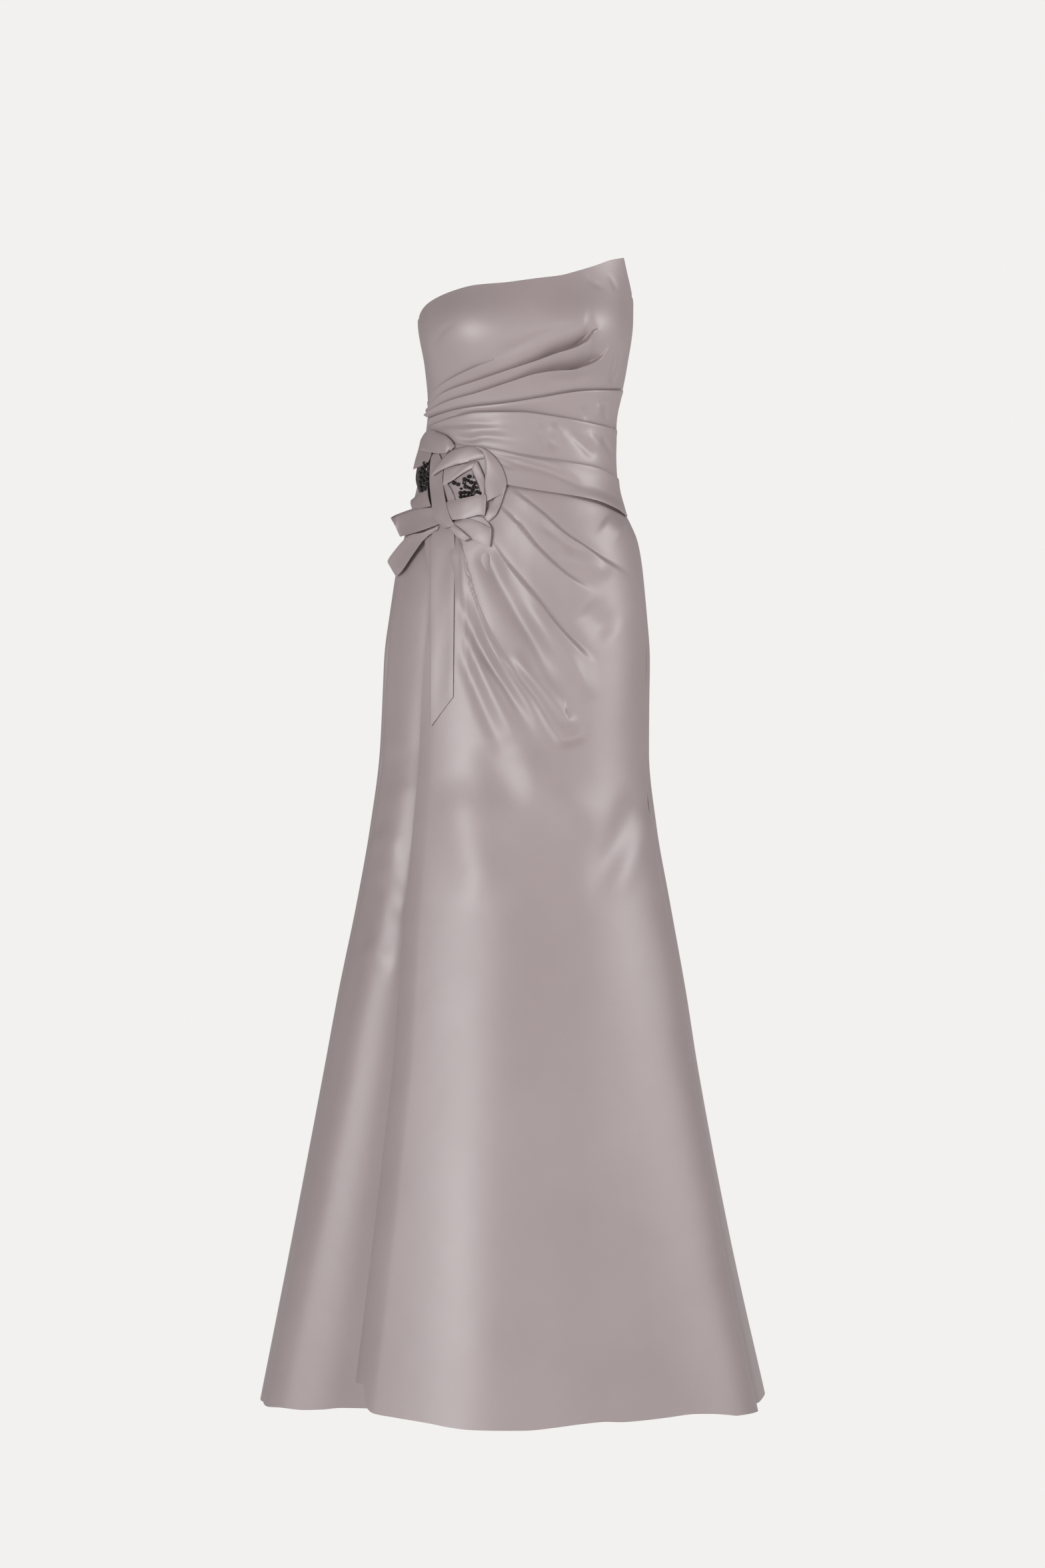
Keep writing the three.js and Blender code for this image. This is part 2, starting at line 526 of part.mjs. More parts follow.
// Front rosette: an outer frame of ribbon, an inner one over its rim, and the ground that carries the beads.
ribbon("rosette_front_ground", [
  [[-87, 1099, 3.4], [-80.5, 1080.5, 3.4]],
  [[-74, 1109.5, 3.4], [-65, 1082.5, 3.4]],
  [[-61, 1117.5, 3.4], [-48.5, 1086, 3.4]],
], { crown: 0 });
ribbon("rosette_front_lower_right", [
  [[-19.4, 1095.5, 3.4], [-30, 1088, 3.4]],
  [[-25, 1078, 3.8], [-38, 1074, 3.6]],
  [[-31.4, 1063, 4], [-43, 1065, 3.6]],
  [[-40.8, 1053.6, 1.6], [-47, 1057.5, 1.5]],
], { crown: 0.2 });
ribbon("rosette_front_top", [
  [[-102.5, 1117.6, 3.3], [-102, 1112, 3.3]],
  [[-88.5, 1135.4, 4.6], [-91, 1116, 5]],
  [[-76.8, 1143.2, 5.2], [-72, 1120.6, 5.4]],
  [[-57, 1144.4, 4.8], [-57.4, 1124.6, 5.4]],
], { crown: 0.9 });
ribbon("rosette_front_right", [
  [[-55, 1144, 4.8], [-55, 1127.6, 5.3]],
  [[-39, 1137.2, 5.2], [-47.6, 1118, 5.4]],
  [[-25.5, 1121, 5.4], [-46.8, 1108, 5.4]],
  [[-19.4, 1101, 5.4], [-47, 1098, 5.4]],
  [[-26, 1085.6, 5.4], [-46.4, 1089.4, 5.4]],
  [[-41, 1077.4, 5.4], [-42.8, 1086.6, 5.4]],
], { crown: 0.9 });
ribbon("rosette_front_inner_top", [
  [[-92.6, 1117.6, 7.4], [-93.4, 1099, 6.8]],
  [[-80, 1121, 7.6], [-82, 1104.6, 6.8]],
  [[-67, 1124, 7.6], [-71, 1112, 6.8]],
  [[-57.4, 1126, 7.4], [-61.4, 1118, 6.8]],
], { crown: 0.5 });
ribbon("rosette_front_inner_right", [
  [[-54.8, 1126, 7.4], [-59.4, 1117, 6.8]],
  [[-48, 1115, 7.6], [-55.6, 1109, 6.8]],
  [[-44.4, 1103, 7.6], [-52, 1099, 6.8]],
  [[-44.6, 1088.4, 7.4], [-49.2, 1088.4, 6.8]],
], { crown: 0.5 });
ribbon("rosette_front_inner_left", [
  [[-89.6, 1096.6, 5.2], [-92.4, 1095.4, 5.2]],
  [[-83.2, 1089, 5.2], [-91, 1088.4, 5.4]],
  [[-80, 1082.2, 5], [-88.4, 1081.4, 5.2]],
], { crown: 0.3 });

// Side rosette, turned towards the wearer's right, whose ground is dark net.
ribbon("rosette_side_ground", [
  [[-125.5, 1126, 7], [-110.6, 1127.6, 4.2]],
  [[-127.5, 1108, 6.4], [-112, 1110, 4]],
  [[-121.6, 1088, 2.6], [-113.6, 1092, 2.6]],
], { crown: 0, material: BEADED });
ribbon("rosette_side_top", [
  [[-124, 1146, 8.4], [-118, 1142.2, 7]],
  [[-121, 1158, 8], [-110.6, 1140, 8]],
  [[-111.5, 1166.4, 7], [-101, 1137.8, 8.6]],
  [[-95, 1162, 5.8], [-92, 1137.8, 8]],
  [[-84.6, 1155, 3.4], [-86.8, 1143, 3.6]],
]);
ribbon("rosette_side_left", [
  [[-125.5, 1140.6, 9.4], [-110.4, 1138, 6.7]],
  [[-128.5, 1132, 10], [-110.8, 1131, 6.9]],
  [[-131, 1122, 10.6], [-115.6, 1126, 6.7]],
], { crown: 0.6 });
ribbon("rosette_side_bottom", [
  [[-133, 1084, 5.4], [-131, 1073.2, 5.2]],
  [[-121.4, 1091.6, 4.6], [-117.6, 1074, 5.4]],
  [[-113.4, 1095.4, 4.4], [-109.6, 1075.4, 5]],
]);

// Zip of the middle back, closed. The pull hangs from the slider and hinges on a line across it.
const ZIP_UP = 1266; // the hinge's height
const SLIDER = { wide: 7, deep: 2.6, tall: 10 };
const PULL = { wide: 6, thick: 1.2, long: 22 };
const zipFace = onGown(BACK_SEAM, ZIP_UP + 5).y + 0.3;
const sliderBack = zipFace + 0.4 + SLIDER.deep;
const slider = new THREE.BoxGeometry(SLIDER.wide, SLIDER.deep, SLIDER.tall);
slider.translate(0, sliderBack - SLIDER.deep / 2, ZIP_UP);
add("zip_slider", slider, METAL);
const pullMiddle = sliderBack + 0.35 + PULL.thick / 2;
const pull = new THREE.BoxGeometry(PULL.wide, PULL.thick, PULL.long);
pull.translate(0, pullMiddle, ZIP_UP + PULL.thick / 2 - PULL.long / 2);
add("zip_pull", pull, METAL);

gown.position.z = -HOLD_UP;
export default gown;
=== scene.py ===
# %% [markdown]
# This lesson dresses the solids of a strapless satin gown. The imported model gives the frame, the sizes and
# what moves; Blender gives the cloth its folds, its sheen and its beads. Loading the frame comes first,
# because every piece below is placed by the numbers in it.

# %% Load the frame
import math

import bpy
import numpy as np
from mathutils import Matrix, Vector


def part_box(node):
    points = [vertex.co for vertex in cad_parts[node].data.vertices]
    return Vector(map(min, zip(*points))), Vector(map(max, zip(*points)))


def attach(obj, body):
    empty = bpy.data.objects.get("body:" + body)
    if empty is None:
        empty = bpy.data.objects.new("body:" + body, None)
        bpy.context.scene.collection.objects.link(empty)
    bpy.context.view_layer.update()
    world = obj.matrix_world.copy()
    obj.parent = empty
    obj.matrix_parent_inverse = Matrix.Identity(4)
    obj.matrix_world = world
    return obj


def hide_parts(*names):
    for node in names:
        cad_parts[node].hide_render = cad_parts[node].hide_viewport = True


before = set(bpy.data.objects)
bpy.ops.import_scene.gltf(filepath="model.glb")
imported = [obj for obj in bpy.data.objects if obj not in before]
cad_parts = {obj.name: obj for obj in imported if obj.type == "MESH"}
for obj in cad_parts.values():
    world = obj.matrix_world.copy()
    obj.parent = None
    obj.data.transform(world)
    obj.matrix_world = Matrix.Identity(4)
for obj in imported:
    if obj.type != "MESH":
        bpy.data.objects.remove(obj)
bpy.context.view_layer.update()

HOLD_UP = 1300.0  # mm from the hem to the origin, where the torso holds the gown

# %% [markdown]
# A gown is drawn as a maker drafts it: girths at a few heights, and smooth curves through them. A curve
# that never swings past its knots keeps a waist from bulging between two measured heights.

# %% Smooth curves
def ease(start, end, at):
    t = np.clip((np.asarray(at, float) - start) / (end - start), 0, 1)
    return t * t * (3 - 2 * t)


def curve(*knots):
    at, value = np.array(knots, float).T
    rise = np.diff(value) / np.diff(at)
    slope = np.concatenate([rise[:1], np.zeros(len(at) - 2), rise[-1:]])
    same = rise[:-1] * rise[1:] > 0
    mean = 2 * rise[:-1] * rise[1:] / np.where(same, rise[:-1] + rise[1:], 1)
    slope[1:-1] = np.where(same, mean, 0)

    def read(x):
        x = np.clip(x, at[0], at[-1])
        i = np.clip(np.searchsorted(at, x, side="right") - 1, 0, len(at) - 2)
        span = at[i + 1] - at[i]
        t = (x - at[i]) / span
        start = value[i] * (1 + 2 * t) * (1 - t) ** 2 + span * slope[i] * t * (1 - t) ** 2
        return start + value[i + 1] * t * t * (3 - 2 * t) + span * slope[i + 1] * t * t * (t - 1)

    return read


# %% [markdown]
# The half widths are read off the front view, and the half depths are a general figure's. Two cups and the
# cloth between them swell the bust, and flutes ripple the hem.

# %% Girths, in mm
OUTLINE = [
    # up, left and right half widths in the front view, front and back half depths
    (0, 316, 294, 233, 262), (200, 276.5, 249, 203, 215), (405, 237.5, 210, 172, 172),
    (494, 221, 196, 158, 155), (606, 198, 176, 141, 137), (694, 182.5, 160.5, 130, 129),
    (783, 171, 151.5, 122, 127), (861, 167, 152, 118, 128), (943, 160.5, 150, 113, 129),
    (997, 152, 144.5, 108, 125), (1035, 143, 138, 104, 117), (1070, 134, 124, 98, 107),
    (1120, 122, 113, 90, 93), (1165, 115, 112, 86, 85), (1205, 113.5, 117.5, 88, 86),
    (1244, 117, 125, 92, 91), (1300, 125.5, 132.5, 93, 97), (1372, 124, 133, 84, 98),
]
half_left, half_right, half_front, half_back = (
    curve(*[(row[0], row[side]) for row in OUTLINE]) for side in (1, 2, 3, 4)
)
ROUNDNESS = 2.15  # the power of each section's curve: 2 is an ellipse, more is squarer
CUPS = [
    # x, up, width, height, depth
    (-72, 1280, 50, 46, 15.5), (4, 1286, 56, 46, 9.5), (78, 1284, 48, 46, 16.5),
]
FLUTES = [
    # turn at the hem, degrees it moves round in a metre of height, width in degrees, depth, top
    (-6, 0, 17, 15, 800), (26, 14, 15, -7, 760), (60, 10, 13, 13, 800), (112, 0, 12, -14, 700),
    (135, 0, 13, 14, 740), (157, 0, 12, -16, 720), (180, 0, 13, 16, 760), (203, 0, 12, -16, 720),
    (225, 0, 13, 14, 740), (248, 0, 12, -13, 700),
]


def on_gown(turn, up, out=0.0):
    """Points in mm at a turn round the gown, 0 in front and 90 at the wearer's left, and a height."""
    turn, up = np.broadcast_arrays(np.asarray(turn, float), np.asarray(up, float))
    s, c = np.sin(np.radians(turn)), np.cos(np.radians(turn))
    wide = np.where(s < 0, half_left(up), half_right(up))
    deep = np.where(c > 0, half_front(up), half_back(up))
    across, along = np.abs(s) ** (2 / ROUNDNESS), np.abs(c) ** (2 / ROUNDNESS)
    nx = np.sign(s) * across ** (ROUNDNESS - 1) / wide
    ny = -np.sign(c) * along ** (ROUNDNESS - 1) / deep
    size = np.hypot(nx, ny)
    nx, ny = nx / size, ny / size
    x, y = np.sign(s) * wide * across, -np.sign(c) * deep * along
    far = np.zeros_like(x) + out
    for cx, cup, width, height, depth in CUPS:
        swell = np.exp(-(((x - cx) / width) ** 2) - ((up - cup) / height) ** 2)
        far = far + ease(0.1, 0.6, c) * depth * swell
    for at, lean, width, depth, top in FLUTES:
        away = (turn - at - lean * up / 1000 + 540) % 360 - 180
        far = far + depth * np.clip(1 - up / top, 0, 1) ** 1.2 * np.exp(-((away / width) ** 2))
    return np.stack([x + nx * far, y + ny * far, up + 0 * x], -1)


print("waist half width", round(float(half_right(1165)), 1), "mm")

# %% [markdown]
# The edges of the pieces are curves too. The neck edge and the hems are a height for each turn, the seams a
# turn for each height, and the wrap's lines a height for each distance across the front.

# %% Edges of the pieces
PEAK_TURN = 64
neck_edge = curve(
    (-80, 1302), (-61, 1315), (-38, 1328.5), (-24, 1334.5), (-8, 1337), (6, 1342), (18, 1346), (26, 1351),
    (38, 1359), (52, 1368), (PEAK_TURN, 1372),
)
armhole = curve(
    (PEAK_TURN, 1372), (70, 1350), (80, 1329), (100, 1312), (120, 1296), (150, 1284), (180, 1280),
)
back_neck = curve((180, 1280), (210, 1282), (240, 1288), (260, 1295), (280, 1302))
band_top = curve(
    (-118, 1180), (-66, 1190.5), (-26, 1194), (22, 1201.5), (67, 1209.5), (111, 1214), (124, 1218),
)
wrap_top = curve(
    (-118, 1170), (-100, 1175), (-76, 1181), (-53, 1184.5), (0, 1184), (34, 1180), (78, 1173), (118, 1167),
)
wrap_fold = curve((-118, 1152), (-50, 1144), (0, 1133.5), (58, 1125), (89, 1120), (118, 1107))
wrap_foot = curve((-132, 1116), (-60, 1105), (-18, 1098), (16, 1092), (84, 1081), (126, 1064))
back_waist = curve((80, 1064), (130, 1078), (180, 1090), (230, 1101), (280, 1114))
RIGHT_SEAM, LEFT_SEAM, BACK_SEAM = -80, 80, 180
skirt_seam = curve(
    (0, 66), (405, 70), (650, 72), (760, 74), (900, 77.5), (1064, LEFT_SEAM), (1300, LEFT_SEAM),
)
wrap_edge = curve(
    (0, -40.3), (250, -40), (400, -40), (490, -41.2), (620, -44), (770, -45), (876, -43.5), (933, -41.2),
    (972, -42.4), (993, -44.5), (1034, -52.5), (1110, -58),
)
front_hem = curve(
    (-40.3, 48), (-38.6, 25), (-35.5, 17), (-29, 14), (-20, 10), (-14, 6), (-9, 4), (2, 3.5), (9, 6),
    (15, 8.5), (22, 10), (28, 8.5), (33, 9), (42, 11), (50, 13), (56, 12), (61, 10), (66, 7),
)
back_hem = curve((66, 7), (76, 15), (90, 17), (112, 14), (180, 0), (248, 8), (280, 10))
under_hem = curve((-80, 10), (-74, 7), (-66, 8), (-55, 6.5), (-48, 8), (-41, 12), (-30, 14), (-10, 14))


def crossing(height, turn):
    """The height at which a line of the front crosses a turn."""
    up = 1150.0
    for _ in range(4):
        up = float(height(on_gown(turn, up)[0]))
    return up


# %% [markdown]
# A pleat is cloth that folds over on itself: a lip that stands up from a crevice and dies away below. The
# bodice's rows of points close up on each side of every pleat, so that the step stays crisp, as a pressed
# fold is. The skirt's rows are close all over, because its pleats cross them at a slant. A soft fold has no
# crease, only a hollow or a roll along a line, like a fold that gravity makes.

# %% Pleats and soft folds
def pleat(span, reach, **knots):
    """span is where the lip starts, is full, begins to fade and ends. The knots are of curves across x."""
    return dict(span=span, reach=reach) | {name: curve(*points) for name, points in knots.items()}


def lean(line, x):
    """Slope of a line, over 1 mm."""
    return line(x + 0.5) - line(x - 0.5)


def pleats_at(pleats, x, up):
    out = np.zeros_like(x)
    for p in pleats:
        gap = (p["line"](x) - up) / np.hypot(1, lean(p["line"], x))
        a, b, c, d = p["span"]
        shown = ease(a, b, x) * (1 - ease(c, d, x))
        lip = p["height"](x) * np.exp(-np.abs(gap / p["reach"]) ** 1.5)
        hollow = -p["crevice"](x) * np.exp(-np.abs(gap / p["width"](x)) ** 1.3)
        round_over = p["edge"](x)
        over = ease(-round_over, round_over, gap)
        out += shown * (over * lip + (1 - over) * hollow)
    return out


STEPS_A_POINT = 6  # how finely a soft fold's line is followed


def soft_at(folds, x, up):
    """folds are depth, width, fade in, fade out and the points of a line; a minus depth is a hollow."""
    out = np.zeros_like(x)
    for depth, width, fade_in, fade_out, points in folds:
        path = np.array(points, float)
        steps = np.linspace(0, len(path) - 1, STEPS_A_POINT * len(path))
        knots = range(len(path))
        path = np.stack([curve(*zip(knots, path[:, k]))(steps) for k in (0, 1)], -1)
        best = np.full(x.shape, np.inf)
        along = np.zeros(x.shape)
        for i, (a, b) in enumerate(zip(path[:-1], path[1:])):
            d = b - a
            t = np.clip(((x - a[0]) * d[0] + (up - a[1]) * d[1]) / max(d @ d, 1e-9), 0, 1)
            gap = np.hypot(x - a[0] - t * d[0], up - a[1] - t * d[1])
            along = np.where(gap < best, (i + t) / (len(path) - 1), along)
            best = np.minimum(best, gap)
        shown = ease(0, fade_in, along) * (1 - ease(1 - fade_out, 1, along))
        out += depth * shown * np.exp(-((best / width) ** 2))
    return out


# %% [markdown]
# Every material is made of nodes alone, and a few small functions make them. Colours are written as a screen
# shows them and turned to light here.

# %% Colours and nodes
def linear(hex_colour):
    parts = [int(hex_colour[i : i + 2], 16) / 255 for i in (1, 3, 5)]
    return [p / 12.92 if p <= 0.04045 else ((p + 0.055) / 1.055) ** 2.4 for p in parts] + [1.0]


def add_node(tree, kind, settings=None, links=None, **attributes):
    """settings fill sockets, links join them to other nodes' outputs, attributes set the node itself."""
    node = tree.nodes.new("ShaderNode" + kind)
    for key, value in attributes.items():
        setattr(node, key, value)
    for key, value in (settings or {}).items():
        node.inputs[key].default_value = value
    for key, output in (links or {}).items():
        tree.links.new(output, node.inputs[key])
    return node


def new_material(name):
    material = bpy.data.materials.new(name)
    material.use_nodes = True
    tree = material.node_tree
    tree.nodes.clear()
    return material, tree, add_node(tree, "TexCoord").outputs["Object"]


def surface(tree, settings, links):
    shader = add_node(tree, "BsdfPrincipled", settings, links)
    add_node(tree, "OutputMaterial", links={"Surface": shader.outputs[0]})


def noise(tree, place, scale, detail, roughness=0.5):
    settings = {"Scale": scale, "Detail": detail, "Roughness": roughness}
    return add_node(tree, "TexNoise", settings, {"Vector": place}).outputs["Fac"]


def two_tones(tree, share, first, second):
    tone = add_node(tree, "Mix", links={"Factor": share}, data_type="RGBA")
    tone.inputs["A"].default_value = linear(first)
    tone.inputs["B"].default_value = linear(second)
    return tone.outputs["Result"]


# %% [markdown]
# The satin is a warp-faced weave in a fine, slightly ribbed yarn. Its long floats throw the light back in a
# broad soft band, which is why the folds read so clearly; the ribs only take the edge off the gloss. So the
# material is a medium roughness with a little sheen, ribs drawn just coarse enough to show, and slow clouds
# and faint crinkles where it has been handled. The ribbon's is a shade cooler.

# %% Duchess satin
RIB_MM = 0.9  # real ribs are about 0.3 mm apart; three times that, or they don't show at all


def duchess_satin(name, light, dark, gloss):
    material, tree, place = new_material(name)
    cloud = noise(tree, place, 9.0, 3.0, 0.55)
    ribs_place = add_node(tree, "Mapping", {"Scale": (60.0, 60.0, 1000 / RIB_MM)}, {"Vector": place})
    ribs = noise(tree, ribs_place.outputs[0], 1.0, 2.0, 0.6)
    tone = two_tones(tree, cloud, dark, light)
    worn = add_node(tree, "MapRange", {"To Min": gloss - 0.05, "To Max": gloss + 0.06}, {"Value": cloud})
    handled = noise(tree, place, 26.0, 2.0, 0.45)
    soft = add_node(tree, "Bump", {"Strength": 0.35, "Distance": 0.0012}, {"Height": handled})
    weave = add_node(
        tree, "Bump", {"Strength": 0.22, "Distance": 0.00012}, {"Height": ribs, "Normal": soft.outputs[0]},
    )
    surface(
        tree, {"IOR": 1.5, "Specular IOR Level": 0.95, "Sheen Weight": 0.06, "Sheen Roughness": 0.45},
        {"Base Color": tone, "Roughness": worn.outputs[0], "Normal": weave.outputs[0]},
    )
    return material


# %% [markdown]
# The rest is seen in small areas: a plain woven lining inside, cut glass and the net below it, and the
# enamel of the zip.

# %% Lining, beads and zip metal
def plain_lining():
    material, tree, place = new_material("plain_woven_lining")
    threads = noise(tree, place, 900.0, 1.0)
    bump = add_node(tree, "Bump", {"Strength": 0.2, "Distance": 0.0001}, {"Height": threads})
    plain = {"Base Color": linear("#9a8c8c"), "Roughness": 0.6, "Sheen Weight": 0.1}
    surface(tree, plain, {"Normal": bump.outputs[0]})
    return material


def coated_glass():
    # cut glass with a dark metal coating: nearly black, with a few sharp bright facets
    material, tree, place = new_material("coated_cut_glass_beads")
    tone = two_tones(tree, noise(tree, place, 260.0, 0.0), "#100d0e", "#3a3234")
    surface(tree, {"Metallic": 0.35, "Roughness": 0.1, "IOR": 1.7}, {"Base Color": tone})
    return material


def dark_net():
    # stiff net that carries the beads, so fine that only its darkness and grain show
    material, tree, place = new_material("bead_net")
    holes = add_node(tree, "TexVoronoi", {"Scale": 900.0}, {"Vector": place})
    tone = two_tones(tree, holes.outputs["Distance"], "#2b2628", "#585052")
    surface(tree, {"Roughness": 0.8}, {"Base Color": tone})
    return material


def enamelled_zinc():
    material, tree, place = new_material("enamelled_zinc")
    flow = noise(tree, place, 400.0, 1.0)
    gloss = add_node(tree, "MapRange", {"To Min": 0.25, "To Max": 0.4}, {"Value": flow})
    enamel = {"Base Color": linear("#9c9091"), "Metallic": 0.3, "Coat Weight": 0.3}
    surface(tree, enamel, {"Roughness": gloss.outputs[0]})
    return material


satin = duchess_satin("duchess_satin", "#a79899", "#9b8c8e", 0.46)
ribbon_satin = duchess_satin("ribbon_satin", "#a49596", "#998a8c", 0.45)
lining = plain_lining()
beads_glass = coated_glass()
net = dark_net()
zinc = enamelled_zinc()
print("materials", [m.name for m in bpy.data.materials])

# %% [markdown]
# Each piece of cloth is a thin closed shell: an outer face, an inner face and the cut edge between them. It
# is built from a grid, and the grid's own lengths give the size that the piece is cut to.

# %% Shells from grids
def grid_lengths(grid):
    across = np.linalg.norm(np.diff(grid, axis=1), axis=2).sum(1)
    down = np.linalg.norm(np.diff(grid, axis=0), axis=2).sum(0)
    a, b = grid[1:, 1:] - grid[:-1, :-1], grid[1:, :-1] - grid[:-1, 1:]
    area = 0.5 * np.linalg.norm(np.cross(a, b), axis=2).sum()
    return float(across.max()), float(down.max()), float(area)


def new_mesh(name, points, faces, materials):
    mesh = bpy.data.meshes.new(name)
    mesh.from_pydata(points, [], faces)
    for material in materials:
        mesh.materials.append(material)
    return mesh


def new_object(name, data):
    thing = bpy.data.objects.new(name, data)
    bpy.context.scene.collection.objects.link(thing)
    return thing


def new_piece(name, mesh, body, slot):
    piece = new_object(name, mesh)
    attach(piece, body)
    return piece


def shell(name, outer, inner, materials, held, rests_on, slot="satin", smooth_angle=50):
    """The first material is the outer face's and the cut edge's, the last the inner face's."""
    rows, columns = outer.shape[:2]
    points = np.concatenate([outer.reshape(-1, 3), inner.reshape(-1, 3)]) / 1000
    points[:, 2] -= HOLD_UP / 1000
    ids = np.arange(rows * columns).reshape(rows, columns)
    back = ids + rows * columns
    corners = [
        (ids[:-1, :-1], ids[1:, :-1], ids[1:, 1:], ids[:-1, 1:]),
        (back[:-1, :-1], back[:-1, 1:], back[1:, 1:], back[1:, :-1]),
        (ids[:-1, 0], back[:-1, 0], back[1:, 0], ids[1:, 0]),
        (ids[:-1, -1], ids[1:, -1], back[1:, -1], back[:-1, -1]),
        (ids[0, :-1], ids[0, 1:], back[0, 1:], back[0, :-1]),
        (ids[-1, :-1], back[-1, :-1], back[-1, 1:], ids[-1, 1:]),
    ]
    faces = [np.stack(four, -1).reshape(-1, 4) for four in corners]
    inside = np.concatenate([np.full(len(f), k == 1) for k, f in enumerate(faces)])
    mesh = new_mesh(name, points.tolist(), np.concatenate(faces).tolist(), materials)
    mesh.polygons.foreach_set("material_index", inside.astype(int) * (len(materials) - 1))
    mesh.polygons.foreach_set("use_smooth", np.ones(len(inside), bool))
    mesh.set_sharp_from_angle(angle=math.radians(smooth_angle))
    piece = new_piece(name, mesh, "gown", slot)
    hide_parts(name)
    width, length, area = grid_lengths(outer / 1000)
    print(f"{piece.name}: cut {width * 1000:.0f} by {length * 1000:.0f} mm")


# %% [markdown]
# A panel is a shell that follows the gown's own form between two turns. Its sewn edges roll in at the seam,
# and a foot that another piece covers dips in below it.

# %% Panels on the gown
CLOTH_MM = 1.1
OFF_FORM_MM = 0.3  # how far a panel's face lies off the form
TUCK_MM = 4.6  # how far a foot runs in under the next piece
EDGE_ROLL, ROLL_REACH = 1.0, 1.2  # how far a sewn edge turns in at its seam, and over what distance
SEAM_MM = 0.2  # half the gap at a sewn seam
UNDER_SEAM_MM = 0.9  # how far the inner face runs on at a seam, so that no light comes through it
SPACING_UP = 1000  # the height at which a panel's columns are spaced
MEAN_RADIUS = 120
EDGE_STEP = 0.0016  # share of the width that the first and the last column take


def seam_turn(up):
    return np.degrees(SEAM_MM / half_right(up))


def beside(seam, share=1):
    """The edge of a panel at a seam, before it if share is minus."""
    return lambda up: seam + share * seam_turn(up)


def cloth_panel(
    name, columns, turn_from, turn_to, heights, out, held="hung", rests_on=(), shift=None,
    rolls=(1, 1), crowd=1,
):
    """crowd above 1 brings the columns closer together towards the first side."""
    share = np.linspace(0, 1, columns) ** crowd
    share = np.concatenate([[0, EDGE_STEP], share[2:-1], [1 - EDGE_STEP, 1]])
    nominal = turn_from(SPACING_UP) + (turn_to(SPACING_UP) - turn_from(SPACING_UP)) * share
    up = np.array([heights(t) for t in nominal]).T
    start, end = turn_from(up), turn_to(up)
    turn = start + (end - start) * share
    proud = out(turn, up)
    arc = np.radians(np.abs(end - start)) * MEAN_RADIUS
    at_start, at_end = np.exp(-(share * arc) / ROLL_REACH), np.exp(-((1 - share) * arc) / ROLL_REACH)
    proud = proud - EDGE_ROLL * (rolls[0] * at_start + rolls[1] * at_end)
    moved = 0 if shift is None else shift(turn, up)
    grids = []
    run_on = UNDER_SEAM_MM / SEAM_MM * seam_turn(up) * at_end
    for depth, reach in ((0, 0), (CLOTH_MM, run_on)):
        grid = on_gown(turn + reach, up, proud - depth)
        grid[..., 1] += moved
        grids.append(grid)
    shell(name, *grids, [satin, lining], held, rests_on)


def dip(depth, away, reach):
    """How far a piece is drawn in along the edge of the one that covers it."""
    return depth * np.exp(-np.maximum(away, 0) / reach)


def rows_on(levels, counts, steps):
    """Heights from the first level to the last, crowded at each, with a step left open at the pleats."""
    rows = []
    for i, count in enumerate(counts):
        t = 0.5 - 0.5 * np.cos(np.pi * np.linspace(0, 1, count))
        high, low = levels[i] - steps[i], levels[i + 1] + steps[i + 1]
        rows.append(high + (low - high) * t)
    return np.concatenate(rows)


# %% [markdown]
# The bodice front is one draped piece. Three pleats fan from the wearer's right waist and open under the
# left cup, where the hollows above them are deepest. The piece dips just above the waist wrap, which is
# sewn over its foot, and that dip is what draws the dark line along the wrap's edge.

# %% Bodice front
BODICE_PLEATS = [
    pleat(
        line=[(-118, 1189), (-113, 1199), (-106, 1210), (-98, 1217), (-88, 1223), (-61, 1235), (-40, 1243),
              (-10, 1254), (60, 1276), (135, 1296)],
        span=(-120, -112, -66, -22), reach=14,
        height=[(-120, 2.6), (-30, 2)], crevice=[(-120, 1.6), (-60, 1.8), (-30, 1.4)],
        width=[(-120, 2), (-30, 4)], edge=[(-400, 0.3), (400, 0.3)],
    ),
    pleat(
        line=[(-118, 1186), (-110, 1194), (-92, 1209), (-53, 1221.5), (-22, 1231.5), (22, 1246),
              (36, 1251.5), (60, 1259.5), (73, 1267), (86, 1281), (135, 1291)],
        span=(-120, -112, 74, 94), reach=15,
        height=[(-120, 2.6), (0, 3.8), (60, 6.5), (90, 4)],
        crevice=[(-120, 1.8), (-25, 2.8), (10, 6.5), (45, 12), (68, 10.5), (88, 1.5)],
        width=[(-120, 2), (-25, 3.6), (10, 6.5), (55, 8), (90, 8)], edge=[(-60, 0.3), (60, 0.4), (90, 1.4)],
    ),
    pleat(
        line=[(-118, 1181.5), (-110, 1188), (-88, 1198.4), (-53, 1207.2), (-11, 1220.5), (18, 1229.3),
              (38, 1232.4), (58, 1234), (73, 1239.5), (86, 1246), (94, 1252), (104, 1264), (135, 1276)],
        span=(-120, -112, 84, 106), reach=17,
        height=[(-120, 2.6), (0, 4), (50, 6.5), (100, 4)],
        crevice=[(-120, 1.8), (-15, 2.8), (20, 7), (60, 11), (80, 7), (104, 0.8)],
        width=[(-120, 2), (-15, 3.4), (20, 6), (60, 7.5), (88, 6), (104, 4)],
        edge=[(-60, 0.3), (60, 0.4), (100, 1.4)],
    ),
]
